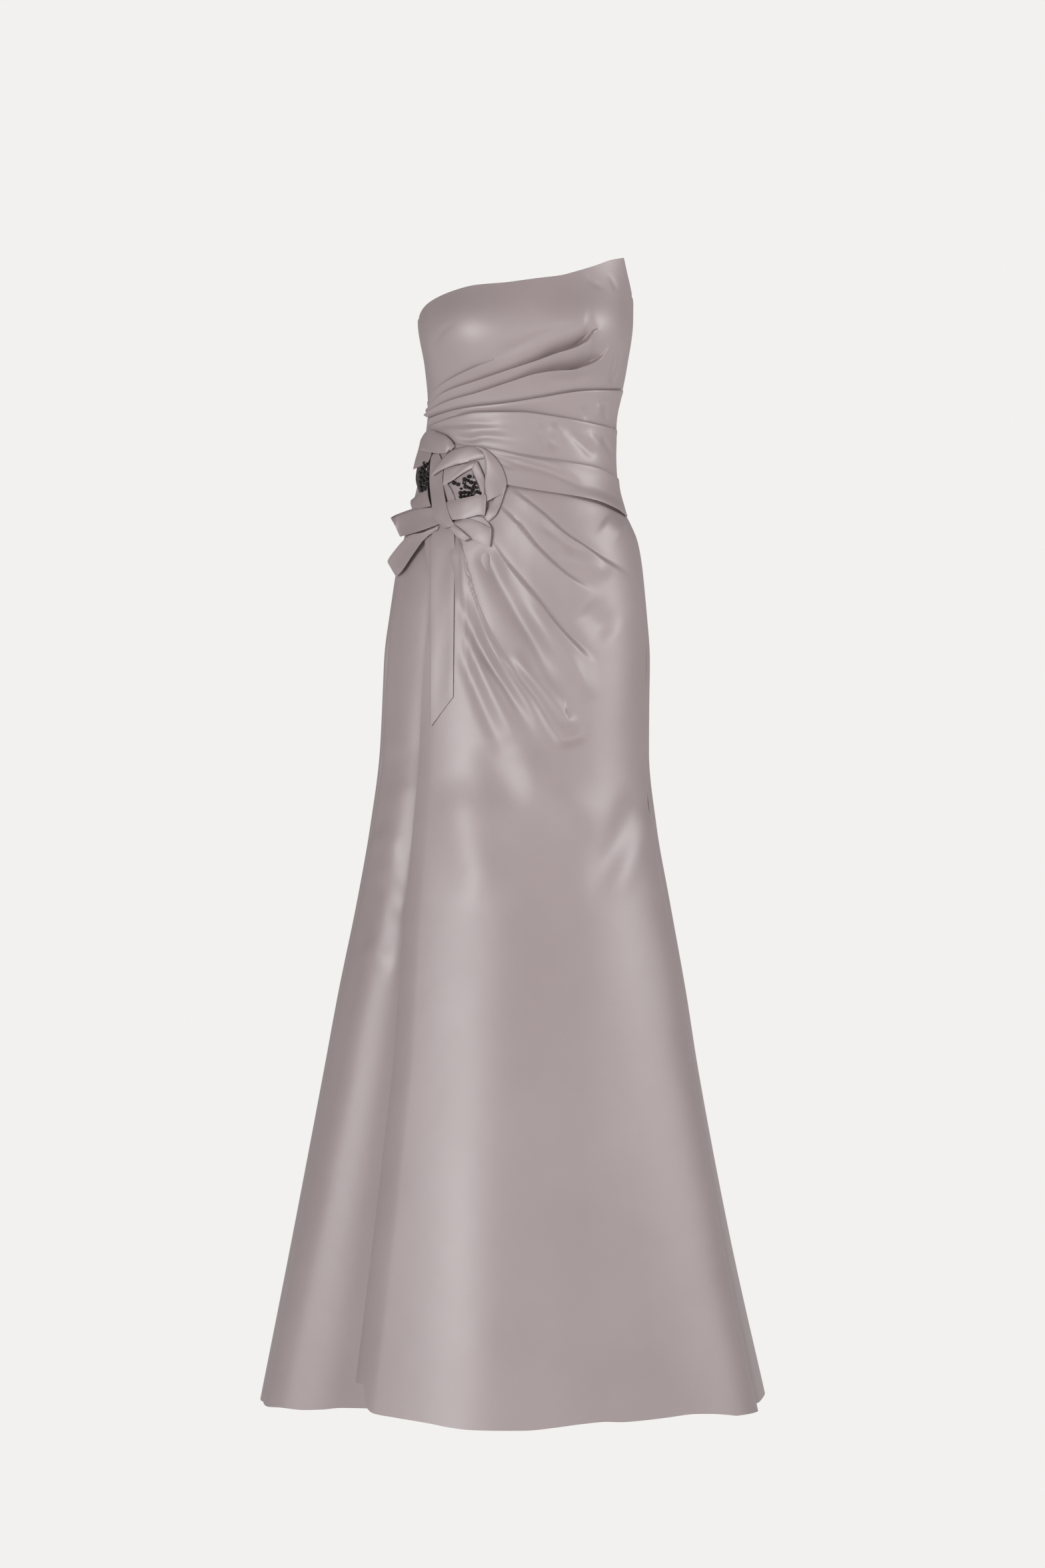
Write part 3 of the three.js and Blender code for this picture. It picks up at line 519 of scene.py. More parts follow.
BODICE_SOFT = [
    # depth, width, fade in, fade out, line
    (-1.8, 6, 0.3, 0.5, [(-35, 1247), (-10, 1259), (20, 1272), (50, 1283), (75, 1290)]),
    (1.6, 7, 0.3, 0.4, [(28, 1240), (55, 1251), (80, 1262), (96, 1279)]),
    (-1.6, 2.2, 0.3, 0.1, [(116, 1262), (115, 1250), (112, 1236), (106, 1219)]),
    (-1.5, 2, 0.3, 0.1, [(111, 1256), (108, 1243), (104, 1221)]),
    (-1.4, 6, 0.4, 0.4, [(20, 1224), (45, 1222), (70, 1226), (86, 1232)]),
    (-0.8, 3, 0.3, 0.4, [(-105, 1262), (-99, 1275), (-90, 1284), (-76, 1290)]),
    (-0.7, 4, 0.4, 0.4, [(72, 1352), (84, 1338), (100, 1330)]),
    (-0.6, 3, 0.4, 0.4, [(98, 1352), (108, 1340), (112, 1326)]),
]
BUST_UP = 1225
STEP_MM = 0.3  # half the height of a pleat's step
LEAST_APART, LEAST_BELOW_TOP = 2.2, 6  # of a pleat's rows, from the next pleat's and from the neck edge
BODICE_ROWS = [46, 12, 16, 22, 4]


def bodice_heights(turn):
    top = neck_edge(turn) if turn <= PEAK_TURN else armhole(turn)
    cover = crossing(band_top, turn)
    x = on_gown(turn, BUST_UP)[0]
    lines = [p["line"] for p in BODICE_PLEATS]
    steps = [STEP_MM * math.hypot(1, lean(line, x)) for line in lines]
    levels = [top, *(crossing(line, turn) for line in lines), cover + 0.4, cover - TUCK_MM]
    for i in range(len(levels) - 2, 0, -1):
        levels[i] = max(levels[i], levels[i + 1] + (0 if i == len(levels) - 2 else LEAST_APART))
    levels[1] = min(levels[1], top - LEAST_BELOW_TOP)
    return rows_on(levels, BODICE_ROWS, [0] + steps + [0, 0])


def bodice_out(turn, up):
    x = on_gown(turn, up)[..., 0]
    cover = band_top(x)
    relief = pleats_at(BODICE_PLEATS, x, up) + soft_at(BODICE_SOFT, x, up)
    return OFF_FORM_MM + relief * ease(cover, cover + 5, up) - dip(1.8, up - cover, 2.2)


cloth_panel(
    "bodice_front", 190, beside(RIGHT_SEAM), beside(LEFT_SEAM, -1), bodice_heights, bodice_out,
    held="stretched",
)

# %% [markdown]
# The waist wrap is three bands of folded cloth. Each band's upper edge lies over the one above it, and its
# foot runs in under the next. The lowest ends in a free edge that stands off the skirt at the left side.

# %% Waist wrap
BAND_PROUD = 2.3  # how far a band stands off the form at its upper edge
BAND_COLUMNS, BAND_ROWS = 200, 30
UPPER_SOFT = [
    (-1.5, 3.2, 0.3, 0.3, [(96, 1197), (98, 1188), (100, 1176)]),
    (1.2, 3.5, 0.3, 0.3, [(88, 1200), (89, 1190), (88, 1178)]),
    (-1.2, 3.5, 0.3, 0.3, [(72, 1193), (74, 1184), (76, 1176)]),
    (-1.0, 2.4, 0.3, 0.4, [(112, 1208), (104, 1202), (92, 1198), (80, 1190)]),
    (-1.4, 2.2, 0.2, 0.3, [(-114, 1176.5), (-100, 1180), (-84, 1184.5), (-70, 1186)]),
]
MIDDLE_SOFT = [
    (-1.8, 4.5, 0.2, 0.4, [(-108, 1167), (-90, 1171), (-62, 1171.5), (-40, 1170), (-22, 1169)]),
    (-2.4, 4.8, 0.4, 0.4, [
        (-88, 1161), (-76, 1156.5), (-62, 1153.5), (-45, 1157), (-22, 1154), (12, 1147.5),
    ]),
    (1.8, 6, 0.4, 0.4, [(-90, 1163.5), (-62, 1163), (-30, 1163), (4, 1158)]),
    (-2.6, 6, 0.35, 0.45, [(14, 1171), (24, 1160), (34, 1147), (42, 1138)]),
    (2.2, 7, 0.35, 0.4, [(30, 1172), (42, 1160), (54, 1146)]),
    (-2.4, 5.5, 0.35, 0.4, [(52, 1165), (64, 1153), (78, 1140), (88, 1130)]),
    (1.8, 6, 0.35, 0.4, [(72, 1164), (84, 1152), (96, 1138)]),
    (-1.2, 3, 0.3, 0.4, [(92, 1160), (100, 1146), (110, 1134)]),
]
LOWER_SOFT = [
    (-2.2, 4.5, 0.2, 0.4, [(-32, 1129), (-2, 1123), (32, 1114), (59, 1102), (76, 1093)]),
    (1.8, 6, 0.3, 0.4, [(-20, 1136), (12, 1128), (44, 1118), (78, 1105)]),
    (-0.9, 1.8, 0.1, 0.5, [(-36, 1134), (-20, 1130), (2, 1127), (22, 1124)]),
    (-0.9, 1.8, 0.1, 0.5, [(-34, 1126), (-18, 1120), (0, 1115)]),
]


def band(name, top, foot, soft, free_foot=False):
    def heights(turn):
        edge, end = crossing(top, turn), crossing(foot, turn)
        end = end if free_foot else end - TUCK_MM
        return edge + (end - edge) * (0.5 - 0.5 * np.cos(np.pi * np.linspace(0, 1, BAND_ROWS)))

    def out(turn, up):
        x = on_gown(turn, up)[..., 0]
        high, low = top(x), foot(x)
        down = np.clip((high - up) / (high - low), 0, 1.2)
        past_corsage = ease(-62, -20, x)
        lip = 1.3 * past_corsage * np.exp(-((high - up) / 9) ** 2) - 0.5 * np.exp(-(high - up) / 0.9)
        relief = soft_at(soft, x, up) * ease(0, 3, high - up)
        if free_foot:
            lift = 3.4 * ease(40, 84, x) * (1 - ease(108, 122, x)) * (1 - ease(0, 16, up - low))
            return BAND_PROUD + lip + relief + lift
        dive = ease(0.25, 1, down)
        return BAND_PROUD * (1 - dive) + lip + relief * ease(-2, 4, up - low) - dip(1.4, up - low, 2.2)

    cloth_panel(
        name, BAND_COLUMNS, beside(RIGHT_SEAM), beside(LEFT_SEAM, -1), heights, out,
        held="draped", rests_on=["bodice_front"],
    )


band("waist_wrap_upper", band_top, wrap_top, UPPER_SOFT)
band("waist_wrap_middle", wrap_top, wrap_fold, MIDDLE_SOFT)
band("waist_wrap_lower", wrap_fold, wrap_foot, LOWER_SOFT, free_foot=True)

# %% [markdown]
# The skirt front is one wide piece, gathered under the corsage. Sharp folds radiate from there to the left
# hip and soften as they go, and long hollows hang between them down to the thigh.

# %% Skirt front
SKIRT_PLEATS = [
    pleat(
        line=[(-200, 1150), (-60, 1104), (-17, 1096.5), (0, 1083.5), (22, 1066), (51, 1040), (73, 1026),
              (95, 1011), (117, 999), (137, 988), (170, 975)],
        span=(-22, 6, 84, 136), reach=17,
        height=[(-20, 2), (20, 4.5), (60, 6), (137, 3.5)], crevice=[(-20, 1), (50, 2), (130, 1)],
        width=[(-20, 3), (130, 8)], edge=[(-20, 0.7), (40, 1.8), (80, 3), (137, 6)],
    ),
    pleat(
        line=[(-200, 1140), (-60, 1095), (-30, 1075), (-4, 1050.5), (16, 1026), (36, 1006), (58, 988.5),
              (85, 975), (170, 945)],
        span=(-34, -8, 44, 96), reach=18,
        height=[(-30, 3), (36, 5.6), (85, 4)], crevice=[(-30, 1), (36, 2), (85, 0.8)],
        width=[(-30, 3), (80, 8)], edge=[(-30, 0.7), (20, 1.8), (60, 4), (90, 6)],
    ),
    pleat(
        line=[(-200, 1130), (-70, 1070), (-35, 1029.5), (-22, 1010.5), (-4, 988.5), (18, 962.5), (39, 935),
              (62, 910), (83, 893), (170, 845)],
        span=(-40, -14, 56, 92), reach=20,
        height=[(-35, 3), (10, 6), (60, 7), (83, 5)], crevice=[(-35, 1), (30, 2.4), (83, 1)],
        width=[(-35, 4), (83, 9)], edge=[(-35, 1), (10, 2.4), (50, 4), (90, 7)],
    ),
    pleat(
        line=[(-200, 1080), (-90, 1056), (-74, 1032), (-65.3, 1001), (-56.8, 969), (-46.6, 940), (-33, 911),
              (-19, 889), (0, 872), (170, 760)],
        span=(-80, -66, -34, 0), reach=14,
        height=[(-400, 4.6), (400, 4.6)], crevice=[(-400, 1.6), (400, 1.6)],
        width=[(-80, 3), (-10, 7)], edge=[(-80, 0.9), (-50, 1.4), (-20, 3.5)],
    ),
]
SKIRT_SOFT = [
    (-4.5, 8.5, 0.25, 0.4, [(-73, 967), (-62, 935), (-44, 897), (-24, 863), (-3, 828), (23, 780)]),
    (3.2, 8, 0.2, 0.3, [(-55, 942), (-34, 901), (-10, 866), (11, 836), (32, 793)]),
    (-3, 9, 0.3, 0.4, [(-78, 925), (-66, 884), (-51, 845), (-34, 805), (-18, 770)]),
    (2.6, 9, 0.3, 0.4, [(-66, 930), (-50, 884), (-30, 842), (-11, 805), (2, 775)]),
    (-3.6, 8, 0.2, 0.2, [(-27, 897), (-6, 873), (16, 842), (36, 812), (50, 797), (66, 802), (72, 824)]),
    (4, 9, 0.3, 0.2, [(-14, 906), (-2, 884), (22, 858), (42, 832), (52, 820), (58, 832)]),
    (-4.6, 11, 0.15, 0.4, [(-50, 1028), (-37, 1001), (-13, 956), (11, 915), (32, 868), (46, 843)]),
    (4.6, 12, 0.3, 0.4, [(-10, 974), (18, 936), (49, 894), (73, 859), (80, 838)]),
    (-4, 18, 0.3, 0.4, [(70, 958), (90, 936), (112, 920)]),
    (3.5, 9, 0.3, 0.4, [(-84, 1040), (-78, 1010), (-72, 978), (-68, 950)]),
    (-1.6, 5, 0.3, 0.3, [(16, 1056), (34, 1042), (52, 1029), (84, 1011)]),
    (2.6, 9, 0.3, 0.3, [(40, 1022), (60, 1009), (84, 1000), (106, 992)]),
    (2.4, 12, 0.2, 0.3, [(95, 1058), (108, 1050), (124, 1042)]),
    (4, 30, 0.3, 0.4, [(-74, 760), (-66, 700), (-50, 640), (-30, 600)]),
    (-3, 24, 0.3, 0.4, [(-40, 800), (-30, 770), (-16, 740), (6, 715)]),
    (4, 24, 0.3, 0.5, [(-6, 800), (10, 762), (40, 728), (84, 706), (122, 700)]),
    (-4.5, 20, 0.25, 0.5, [(148, 742), (130, 706), (110, 664), (88, 632), (60, 612)]),
    (2.8, 16, 0.2, 0.4, [(151, 722), (138, 680), (116, 638), (92, 606)]),
]
FOLDS_FOOT = 770  # below this the folds are broad and the rows spread out
ROWS_ABOVE, ROWS_BELOW, SPREAD = 172, 69, 1.3


def skirt_heights(turn):
    seam = crossing(wrap_foot, turn) + TUCK_MM
    hip = seam + (FOLDS_FOOT - seam) * np.linspace(0, 1, ROWS_ABOVE)
    thigh = FOLDS_FOOT + (front_hem(turn) - FOLDS_FOOT) * np.linspace(0, 1, ROWS_BELOW)[1:] ** SPREAD
    return np.concatenate([hip, thigh])


def set_back_at(up):
    """How far the underlap hangs behind the wrap."""
    return 62 * (1 - np.clip(up / 1000, 0, 1)) ** 1.9


def edge_roll(turn, up):
    """How far the wrap rolls back towards its free edge."""
    near = 1 - np.clip((turn - wrap_edge(up)) / 9, 0, 1)
    return (2 + 0.3 * set_back_at(up)) * (1 - ease(780, 900, up)) * near**2


def skirt_out(turn, up):
    x = on_gown(turn, up)[..., 0]
    cover = wrap_foot(x)
    relief = pleats_at(SKIRT_PLEATS, x, up) + soft_at(SKIRT_SOFT, x, up)
    covered = dip(1.8, cover - up, 2.6)
    return OFF_FORM_MM + relief * ease(0, 12, cover - up) - covered - edge_roll(turn, up)


cloth_panel(
    "skirt_front", 200, wrap_edge, lambda up: skirt_seam(up) - 1.5 * seam_turn(up),
    skirt_heights, skirt_out, held="draped", rests_on=["skirt_underlap"], rolls=(0, 1), crowd=1.25,
)

# %% [markdown]
# The underlap is the right front that the free edge covers. It hangs a little further in, so the edge of
# the wrap throws a shadow on it. A long shallow trough beside that edge deepens the shadow, and a few
# creases cross the knee.

# %% Underlap
UNDERLAP_END = -14  # degrees, behind the wrap
UNDERLAP_SOFT = [
    (-3, 16, 0.3, 0.4, [(-176, 640), (-160, 618), (-146, 600), (-134, 596)]),
    (2.4, 16, 0.3, 0.4, [(-178, 690), (-160, 676), (-142, 660)]),
    (-2.2, 20, 0.3, 0.4, [(-150, 790), (-146, 760), (-136, 735)]),
    (2, 14, 0.3, 0.4, [(-192, 560), (-170, 540), (-150, 530)]),
    (-6, 20, 0.06, 0.3, [
        (-112, 1042), (-106, 1008), (-103, 985), (-104, 933), (-119, 783), (-136, 606), (-150, 480),
    ]),
]


def set_back(turn, up):
    return set_back_at(up) * ease(-79 + 19 * np.clip(up / 600, 0, 1), -42, turn)


def underlap_heights(turn):
    top = crossing(wrap_foot, turn) + TUCK_MM - 10 * ease(-70, -60, turn)
    return top + (under_hem(turn) - top) * np.linspace(0, 1, 150)


def underlap_out(turn, up):
    x = on_gown(turn, up)[..., 0]
    return -2.3 * ease(-79, -66, turn) + soft_at(UNDERLAP_SOFT, x, up) * (1 - ease(-46, -34, turn))


cloth_panel(
    "skirt_underlap", 60, beside(RIGHT_SEAM, 1.5), beside(UNDERLAP_END, 0),
    underlap_heights, underlap_out, rests_on=["skirt_back_right"], shift=set_back,
)

# %% [markdown]
# The backs are plain, as a gown's are under such a drape, and hold the zip between them. They aren't in the
# photograph, so they carry only soft strain folds at the waist and the flutes of the hem.

# %% Backs
BACK_DIP, DIP_REACH = 0.9, 1.4  # at the waist seam of the back


def back_neck_edge(turn):
    return armhole(turn) if turn <= BACK_SEAM else back_neck(turn)


def bodice_back_heights(turn):
    top, foot = back_neck_edge(turn), back_waist(turn) + 0.3
    return top + (foot - top) * np.linspace(0, 1, 60)


def skirt_back_heights(turn):
    return back_waist(turn) + (back_hem(turn) - back_waist(turn)) * np.linspace(0, 1, 130)


def waves(turn, up, depth, start, slant, wave, middle, reach, fade):
    """Waves that slant away from the back seam and fade towards it."""
    away = np.abs((turn - BACK_SEAM) / 60)
    ripple = depth * np.sin((up - start + slant * away) / wave)
    return ripple * np.exp(-((up - middle) / reach) ** 2) * ease(*fade, away)


def bodice_back_out(turn, up):
    strain = waves(turn, up, 0.8, 1165, -30, 11, 1170, 34, (0.1, 0.9))
    return OFF_FORM_MM + strain - BACK_DIP * np.exp(-(up - back_waist(turn)) / DIP_REACH)


def skirt_back_out(turn, up):
    sag = waves(turn, up, 1.4, 940, 60, 26, 930, 60, (0.2, 1.2))
    return OFF_FORM_MM + sag - BACK_DIP * np.exp(-(back_waist(turn) - up) / DIP_REACH)


for side, start, end in [
    ("left", beside(LEFT_SEAM), beside(BACK_SEAM, -1)),
    ("right", beside(BACK_SEAM), beside(360 + RIGHT_SEAM, -1)),
]:
    cloth_panel(
        f"bodice_back_{side}", 70, start, end, bodice_back_heights, bodice_back_out, held="stretched",
    )
    skirt_start = (lambda up: skirt_seam(up) + seam_turn(up)) if side == "left" else start
    cloth_panel(
        f"skirt_back_{side}", 110, skirt_start, end, skirt_back_heights, skirt_back_out,
        rests_on=[f"bodice_back_{side}"],
    )

# %% [markdown]
# The corsage is made of ribbon, cut on the straight and folded double, so it is stiffer than the gown's own
# cloth and keeps its loops. A ribbon here is a row of stations from one end to the other, each with the
# place of both edges: x, height, and lift off the gown. A station that turns back makes a loop.

# %% Ribbons
RIBBON_MM = 1.0
STEPS_A_STATION, RIBBON_COLUMNS, RIPPLE = 10, 9, 0.25


def beside_gown(spot):
    """The point at a real x, beside the wearer's right front, lifted off the gown."""
    x, up, lift = spot
    low, high = -96.0, 20.0
    for _ in range(26):
        turn = (low + high) / 2
        if on_gown(turn, up, lift)[0] < x:
            low = turn
        else:
            high = turn
    return on_gown((low + high) / 2, up, lift)


def spline(points, count):
    points = np.array(points)
    ends = np.vstack([2 * points[0] - points[1], points, 2 * points[-1] - points[-2]])
    at = np.linspace(0, len(points) - 1 - 1e-9, count)
    i, t = at.astype(int), (at % 1)[:, None]
    p0, p1, p2, p3 = (ends[i + k] for k in range(4))
    return p1 + 0.5 * t * (p2 - p0 + t * (2 * p0 - 5 * p1 + 4 * p2 - p3 + t * (3 * (p1 - p2) + p3 - p0)))


def ribbon(name, stations, crown, rests_on, finish=ribbon_satin, slot="satin"):
    """crown is how far the middle stands up from the two edges; a ribbon without one lies flat."""
    ripple = RIPPLE if crown else 0
    count = STEPS_A_STATION * (len(stations) - 1) + 1
    edge_a, edge_b = (spline([beside_gown(s[k : k + 3]) for s in stations], count) for k in (0, 3))
    t = np.linspace(0, 1, RIBBON_COLUMNS)[:, None, None]
    grid = edge_a[None] * (1 - t) + edge_b[None] * t
    along = np.gradient(grid[RIBBON_COLUMNS // 2], axis=0)
    face = np.cross(edge_b - edge_a, along)
    face /= np.linalg.norm(face, axis=1)[:, None]
    run = np.linspace(0, len(stations) - 1, count)[None, :, None]
    swell = crown * 4 * t * (1 - t) + ripple * np.sin(run * 2.6 + 3 * t) * np.sin(np.pi * t)
    press = np.where((t == 0) | (t == 1), 0.12, 0.5)
    outer = grid + face * (swell + RIBBON_MM * press)
    inner = grid + face * (swell - RIBBON_MM * press)
    shell(name, outer, inner, [finish], "folded", [rests_on], slot, smooth_angle=70)


# %% [markdown]
# Each of the bow's four loops runs out and comes back below itself. A strap with a short end binds them,
# and the one long tail is cut on a slant.

# %% Bow
BOW = {
    # name: stations of x, up and lift at both edges, crown, what it rests on
    "bow_tail": ([
        (-103, 1051, 2, -85, 1051, 2), (-107.6, 1037, 3.4, -80.6, 1038, 2.6),
        (-108, 1010, 3.4, -80.6, 1010, 2.6), (-108, 975, 3.4, -80.8, 975, 2.6),
        (-108, 930, 3.2, -81.2, 930, 2.4), (-108, 880, 3, -81.6, 885, 2.2),
        (-108, 812.8, 2.6, -81.8, 847.5, 2),
    ], 0.5, "skirt_front"),
    "bow_loop_lower_left": ([
        (-99.5, 1049.5, 4.8, -101, 1045, 4.6), (-117, 1043.2, 6.4, -115.5, 1036, 4.4),
        (-137, 1038.8, 9, -128.5, 1019.5, 4.4), (-157, 1018, 14, -143, 999, 4.6),
        (-161.5, 1010.5, 12.8, -151, 992.6, 4), (-154, 1016, 9, -144, 1001.6, 2.6),
        (-134, 1034, 5, -130, 1024, 2.2), (-113.4, 1041.4, 1.6, -112.4, 1037.4, 1.6),
    ], 0.6, "skirt_front"),
    "bow_loop_upper_left": ([
        (-101, 1072, 6.4, -99, 1052, 6.4), (-122.6, 1071, 9, -120.2, 1045.2, 7),
        (-147, 1065.5, 15.6, -140, 1041, 7.6), (-157.5, 1062.5, 25, -146, 1040.3, 9),
        (-148.5, 1068.4, 15, -139, 1044.5, 5), (-124, 1074, 5, -121, 1049, 3.4),
        (-104, 1072, 2, -103, 1056, 2),
    ], 0.8, "skirt_front"),
    "bow_loop_lower_right": ([
        (-82, 1054.4, 4.8, -81, 1050.6, 4.8), (-66, 1057.8, 6.4, -62, 1035, 5),
        (-51, 1053, 7.4, -49.5, 1028, 5.4), (-37.2, 1046.4, 6.4, -38.6, 1024, 4.6),
        (-46, 1058.2, 4.6, -48, 1032, 3), (-60, 1060.4, 3.8, -62, 1042, 2.8),
        (-76, 1056.6, 2.2, -75, 1048, 2.2),
    ], 0.8, "skirt_front"),
    "bow_loop_upper_right": ([
        (-92, 1078, 6.6, -87, 1056.5, 6.4), (-70, 1082.3, 9.4, -70, 1057.6, 7.6),
        (-52, 1085.4, 9.8, -52, 1061.8, 7.8), (-43.8, 1086, 8, -44.8, 1061, 6.6),
        (-52, 1083.6, 6.4, -52, 1062.6, 5.4), (-70, 1080, 5.2, -70, 1061, 4.6),
        (-83, 1075, 2.2, -83, 1062, 2.2),
    ], 0.8, "skirt_front"),
    "knot_strap": ([
        (-108.4, 1137, 4.6, -99, 1137, 4.6), (-109.8, 1124, 6.2, -94, 1122, 6.2),
        (-110.4, 1102, 7, -94.6, 1104, 7), (-108.4, 1084, 8.2, -91.6, 1083, 8.2),
        (-106.2, 1068, 9, -87.8, 1066, 9), (-102.2, 1056, 8.8, -83, 1055, 8.8),
        (-93, 1047.2, 7.6, -79, 1049.6, 7.8),
    ], 1.4, "bow_loop_upper_left"),
    "knot_end": ([
        (-79.4, 1050.4, 8.6, -86.2, 1046.2, 8.2), (-70.4, 1042.6, 9, -78.6, 1037.4, 8.4),
        (-60.8, 1034.2, 8.4, -69.8, 1031, 8),
    ], 0.5, "knot_strap"),
}
for piece_name, (stations, crown, under) in BOW.items():
    ribbon(piece_name, stations, crown, under)

# %% [markdown]
# Each rosette winds ribbon in a square round a nest of beads. The front one, which faces the viewer, has an
# outer turn that stands like a petal and an inner one that frames the nest. The side one turns away.

# %% Rosettes
ROSETTES = {
    "rosette_front_ground": ([
        (-87, 1100, 3.4, -80.5, 1080.5, 3.4), (-74, 1109.5, 3.4, -65, 1082.5, 3.4),
        (-61, 1118, 3.4, -48.5, 1086, 3.4),
    ], 0.0, "waist_wrap_lower"),
    "rosette_front_lower_right": ([
        (-19.2, 1096.5, 3.6, -30, 1088, 3.4), (-24.6, 1078, 4, -38, 1074, 3.6),
        (-31, 1063, 4.2, -43, 1065, 3.6), (-40.4, 1053.2, 1.9, -47, 1057.5, 1.8),
    ], 0.3, "skirt_front"),
    "rosette_front_right": ([
        (-55.4, 1144.2, 6.4, -54.6, 1142.6, 6.6), (-46, 1141.6, 6.4, -47, 1136.6, 7),
        (-34.6, 1133, 5.4, -44.2, 1125, 7), (-25, 1119.6, 4.8, -44, 1111, 6.6),
        (-19, 1101, 4.6, -44, 1096, 6.2), (-21.4, 1087.6, 4.4, -43, 1077.6, 5.4),
    ], 1.4, "rosette_front_lower_right"),
    "rosette_front_top": ([
        (-107, 1112.8, 9.4, -106.4, 1110.4, 9.4), (-99.4, 1125.6, 10, -96, 1116.6, 10),
        (-86.6, 1138.2, 8, -82, 1121.4, 8.2), (-73, 1143.6, 6.6, -70, 1124.6, 7.2),
        (-57.4, 1144.6, 5.2, -57, 1127.4, 5.8), (-46.6, 1137.6, 4.6, -44.8, 1129.6, 5),
    ], 1.2, "rosette_front_right"),
    "rosette_front_inner_top": ([
        (-92.6, 1118.4, 7, -93.8, 1098, 6.6), (-80, 1121.2, 6.8, -82, 1104.4, 6.8),
        (-67, 1123.6, 6.6, -71, 1111.6, 6.8), (-54.4, 1126.4, 6.2, -59.6, 1117.6, 6.8),
    ], 0.5, "rosette_front_ground"),
    "rosette_front_inner_right": ([
        (-53.6, 1127, 5.2, -60.4, 1116.6, 5.2), (-48, 1115, 5, -55.6, 1106, 5.2),
        (-43.8, 1103, 4.6, -51.6, 1096, 5), (-44, 1086.4, 4.6, -48.8, 1084.4, 5),
    ], 0.4, "rosette_front_ground"),
    "rosette_front_inner_left": ([
        (-88.6, 1101, 5.2, -94, 1097.6, 5.4), (-83.4, 1092, 5.2, -91.4, 1089, 5.4),
        (-79.2, 1080.4, 5, -88.4, 1078.4, 5.2),
    ], 0.3, "rosette_front_ground"),
    "rosette_side_ground": ([
        (-125.5, 1127, 7, -110.6, 1128.6, 4.2), (-127.5, 1108, 6.4, -111.4, 1110, 4),
        (-121.6, 1088, 2.8, -112.6, 1092, 2.8),
    ], 0.0, "skirt_underlap"),
    "rosette_side_top": ([
        (-124, 1146, 8.4, -119.6, 1142.4, 7), (-121, 1158, 8, -110.6, 1139.4, 8),
        (-111.5, 1166.6, 6.4, -100.4, 1137.4, 7.4), (-94.4, 1160.6, 5, -91, 1137, 7),
        (-85.6, 1153.6, 4.4, -86.4, 1140, 5.4), (-79.6, 1144.6, 4, -84.4, 1139.2, 4.2),
    ], 1.6, "waist_wrap_lower"),
    "rosette_side_left": ([
        (-123.5, 1149, 8, -107, 1146, 6), (-128, 1134, 10, -109.4, 1134, 6.9),
        (-131, 1121.4, 10.6, -112.4, 1127.8, 6.7),
    ], 0.8, "rosette_side_ground"),
    "rosette_side_bottom": ([
        (-133, 1084.4, 5.4, -131, 1072.6, 5.2), (-122, 1091.6, 4.6, -118.4, 1072.8, 5.6),
        (-113, 1097, 4.8, -108.6, 1074.4, 5.6),
    ], 1.2, "rosette_side_ground"),
}
for piece_name, (stations, crown, under) in ROSETTES.items():
    finish, slot = (net, "bead_ground") if piece_name == "rosette_side_ground" else (ribbon_satin, "satin")
    ribbon(piece_name, stations, crown, under, finish, slot)

# %% [markdown]
# The beads are cut glass with a dark coating, about 5 mm across, sewn down in a loose nest. Their facets are
# shaded flat, so each catches the light on its own, which a smooth sphere would not.

# %% Beads
BEAD_SIDES = 9
# in radii: along the hole, and out from it
BEAD_RINGS = [(-0.86, 0.4), (-0.55, 0.84), (0, 1.02), (0.55, 0.84), (0.86, 0.4)]
PROBE_MM = 4  # how far out the cloth's facing is felt for


def bead(centre, out, radius, spin):
    """Points and faces of one cut bead, its hole along the cloth."""
    side = np.cross(out, [math.cos(spin), 0, math.sin(spin)])
    side /= np.linalg.norm(side)
    ahead = np.cross(side, out)
    points, n = [], BEAD_SIDES
    for i, (along, wide) in enumerate(BEAD_RINGS):
        for k in range(n):
            a = 2 * math.pi * (k + 0.5 * (i % 2)) / n + spin
            round_hole = out * math.cos(a) + ahead * math.sin(a)
            points.append(centre + radius * (side * along + wide * round_hole))
    faces = []
    for r in range(len(BEAD_RINGS) - 1):
        for k in range(n):
            a, b = r * n + k, r * n + (k + 1) % n
            if r % 2:
                faces += [(a, b, a + n), (b, b + n, a + n)]
            else:
                faces += [(a, b, b + n), (a, b + n, a + n)]
    last = (len(BEAD_RINGS) - 1) * n
    return points, faces + [tuple(range(n - 1, -1, -1)), tuple(range(last, last + n))]


def bead_nest(name, spots, lift):
    rng = np.random.default_rng(5)
    points, faces = [], []
    for x, up, size in spots:
        radius = size / 2 * (0.94 + 0.12 * rng.random())
        on = beside_gown((x, up, lift + radius * 0.8))
        off = beside_gown((x, up, lift + radius * 0.8 + PROBE_MM))
        out = np.array([-0.3, -1.0, 0.1]) if np.linalg.norm(off - on) < 1 else off - on
        more, sides = bead(on, out / np.linalg.norm(out), radius, rng.random() * 3)
        faces += [tuple(i + len(points) for i in side) for side in sides]
        points += more
    points = [[x / 1000, y / 1000, (up - HOLD_UP) / 1000] for x, y, up in points]
    new_piece(name, new_mesh(name, points, faces, [beads_glass]), "gown", "bead_ground")
    print(name, len(spots), "beads")


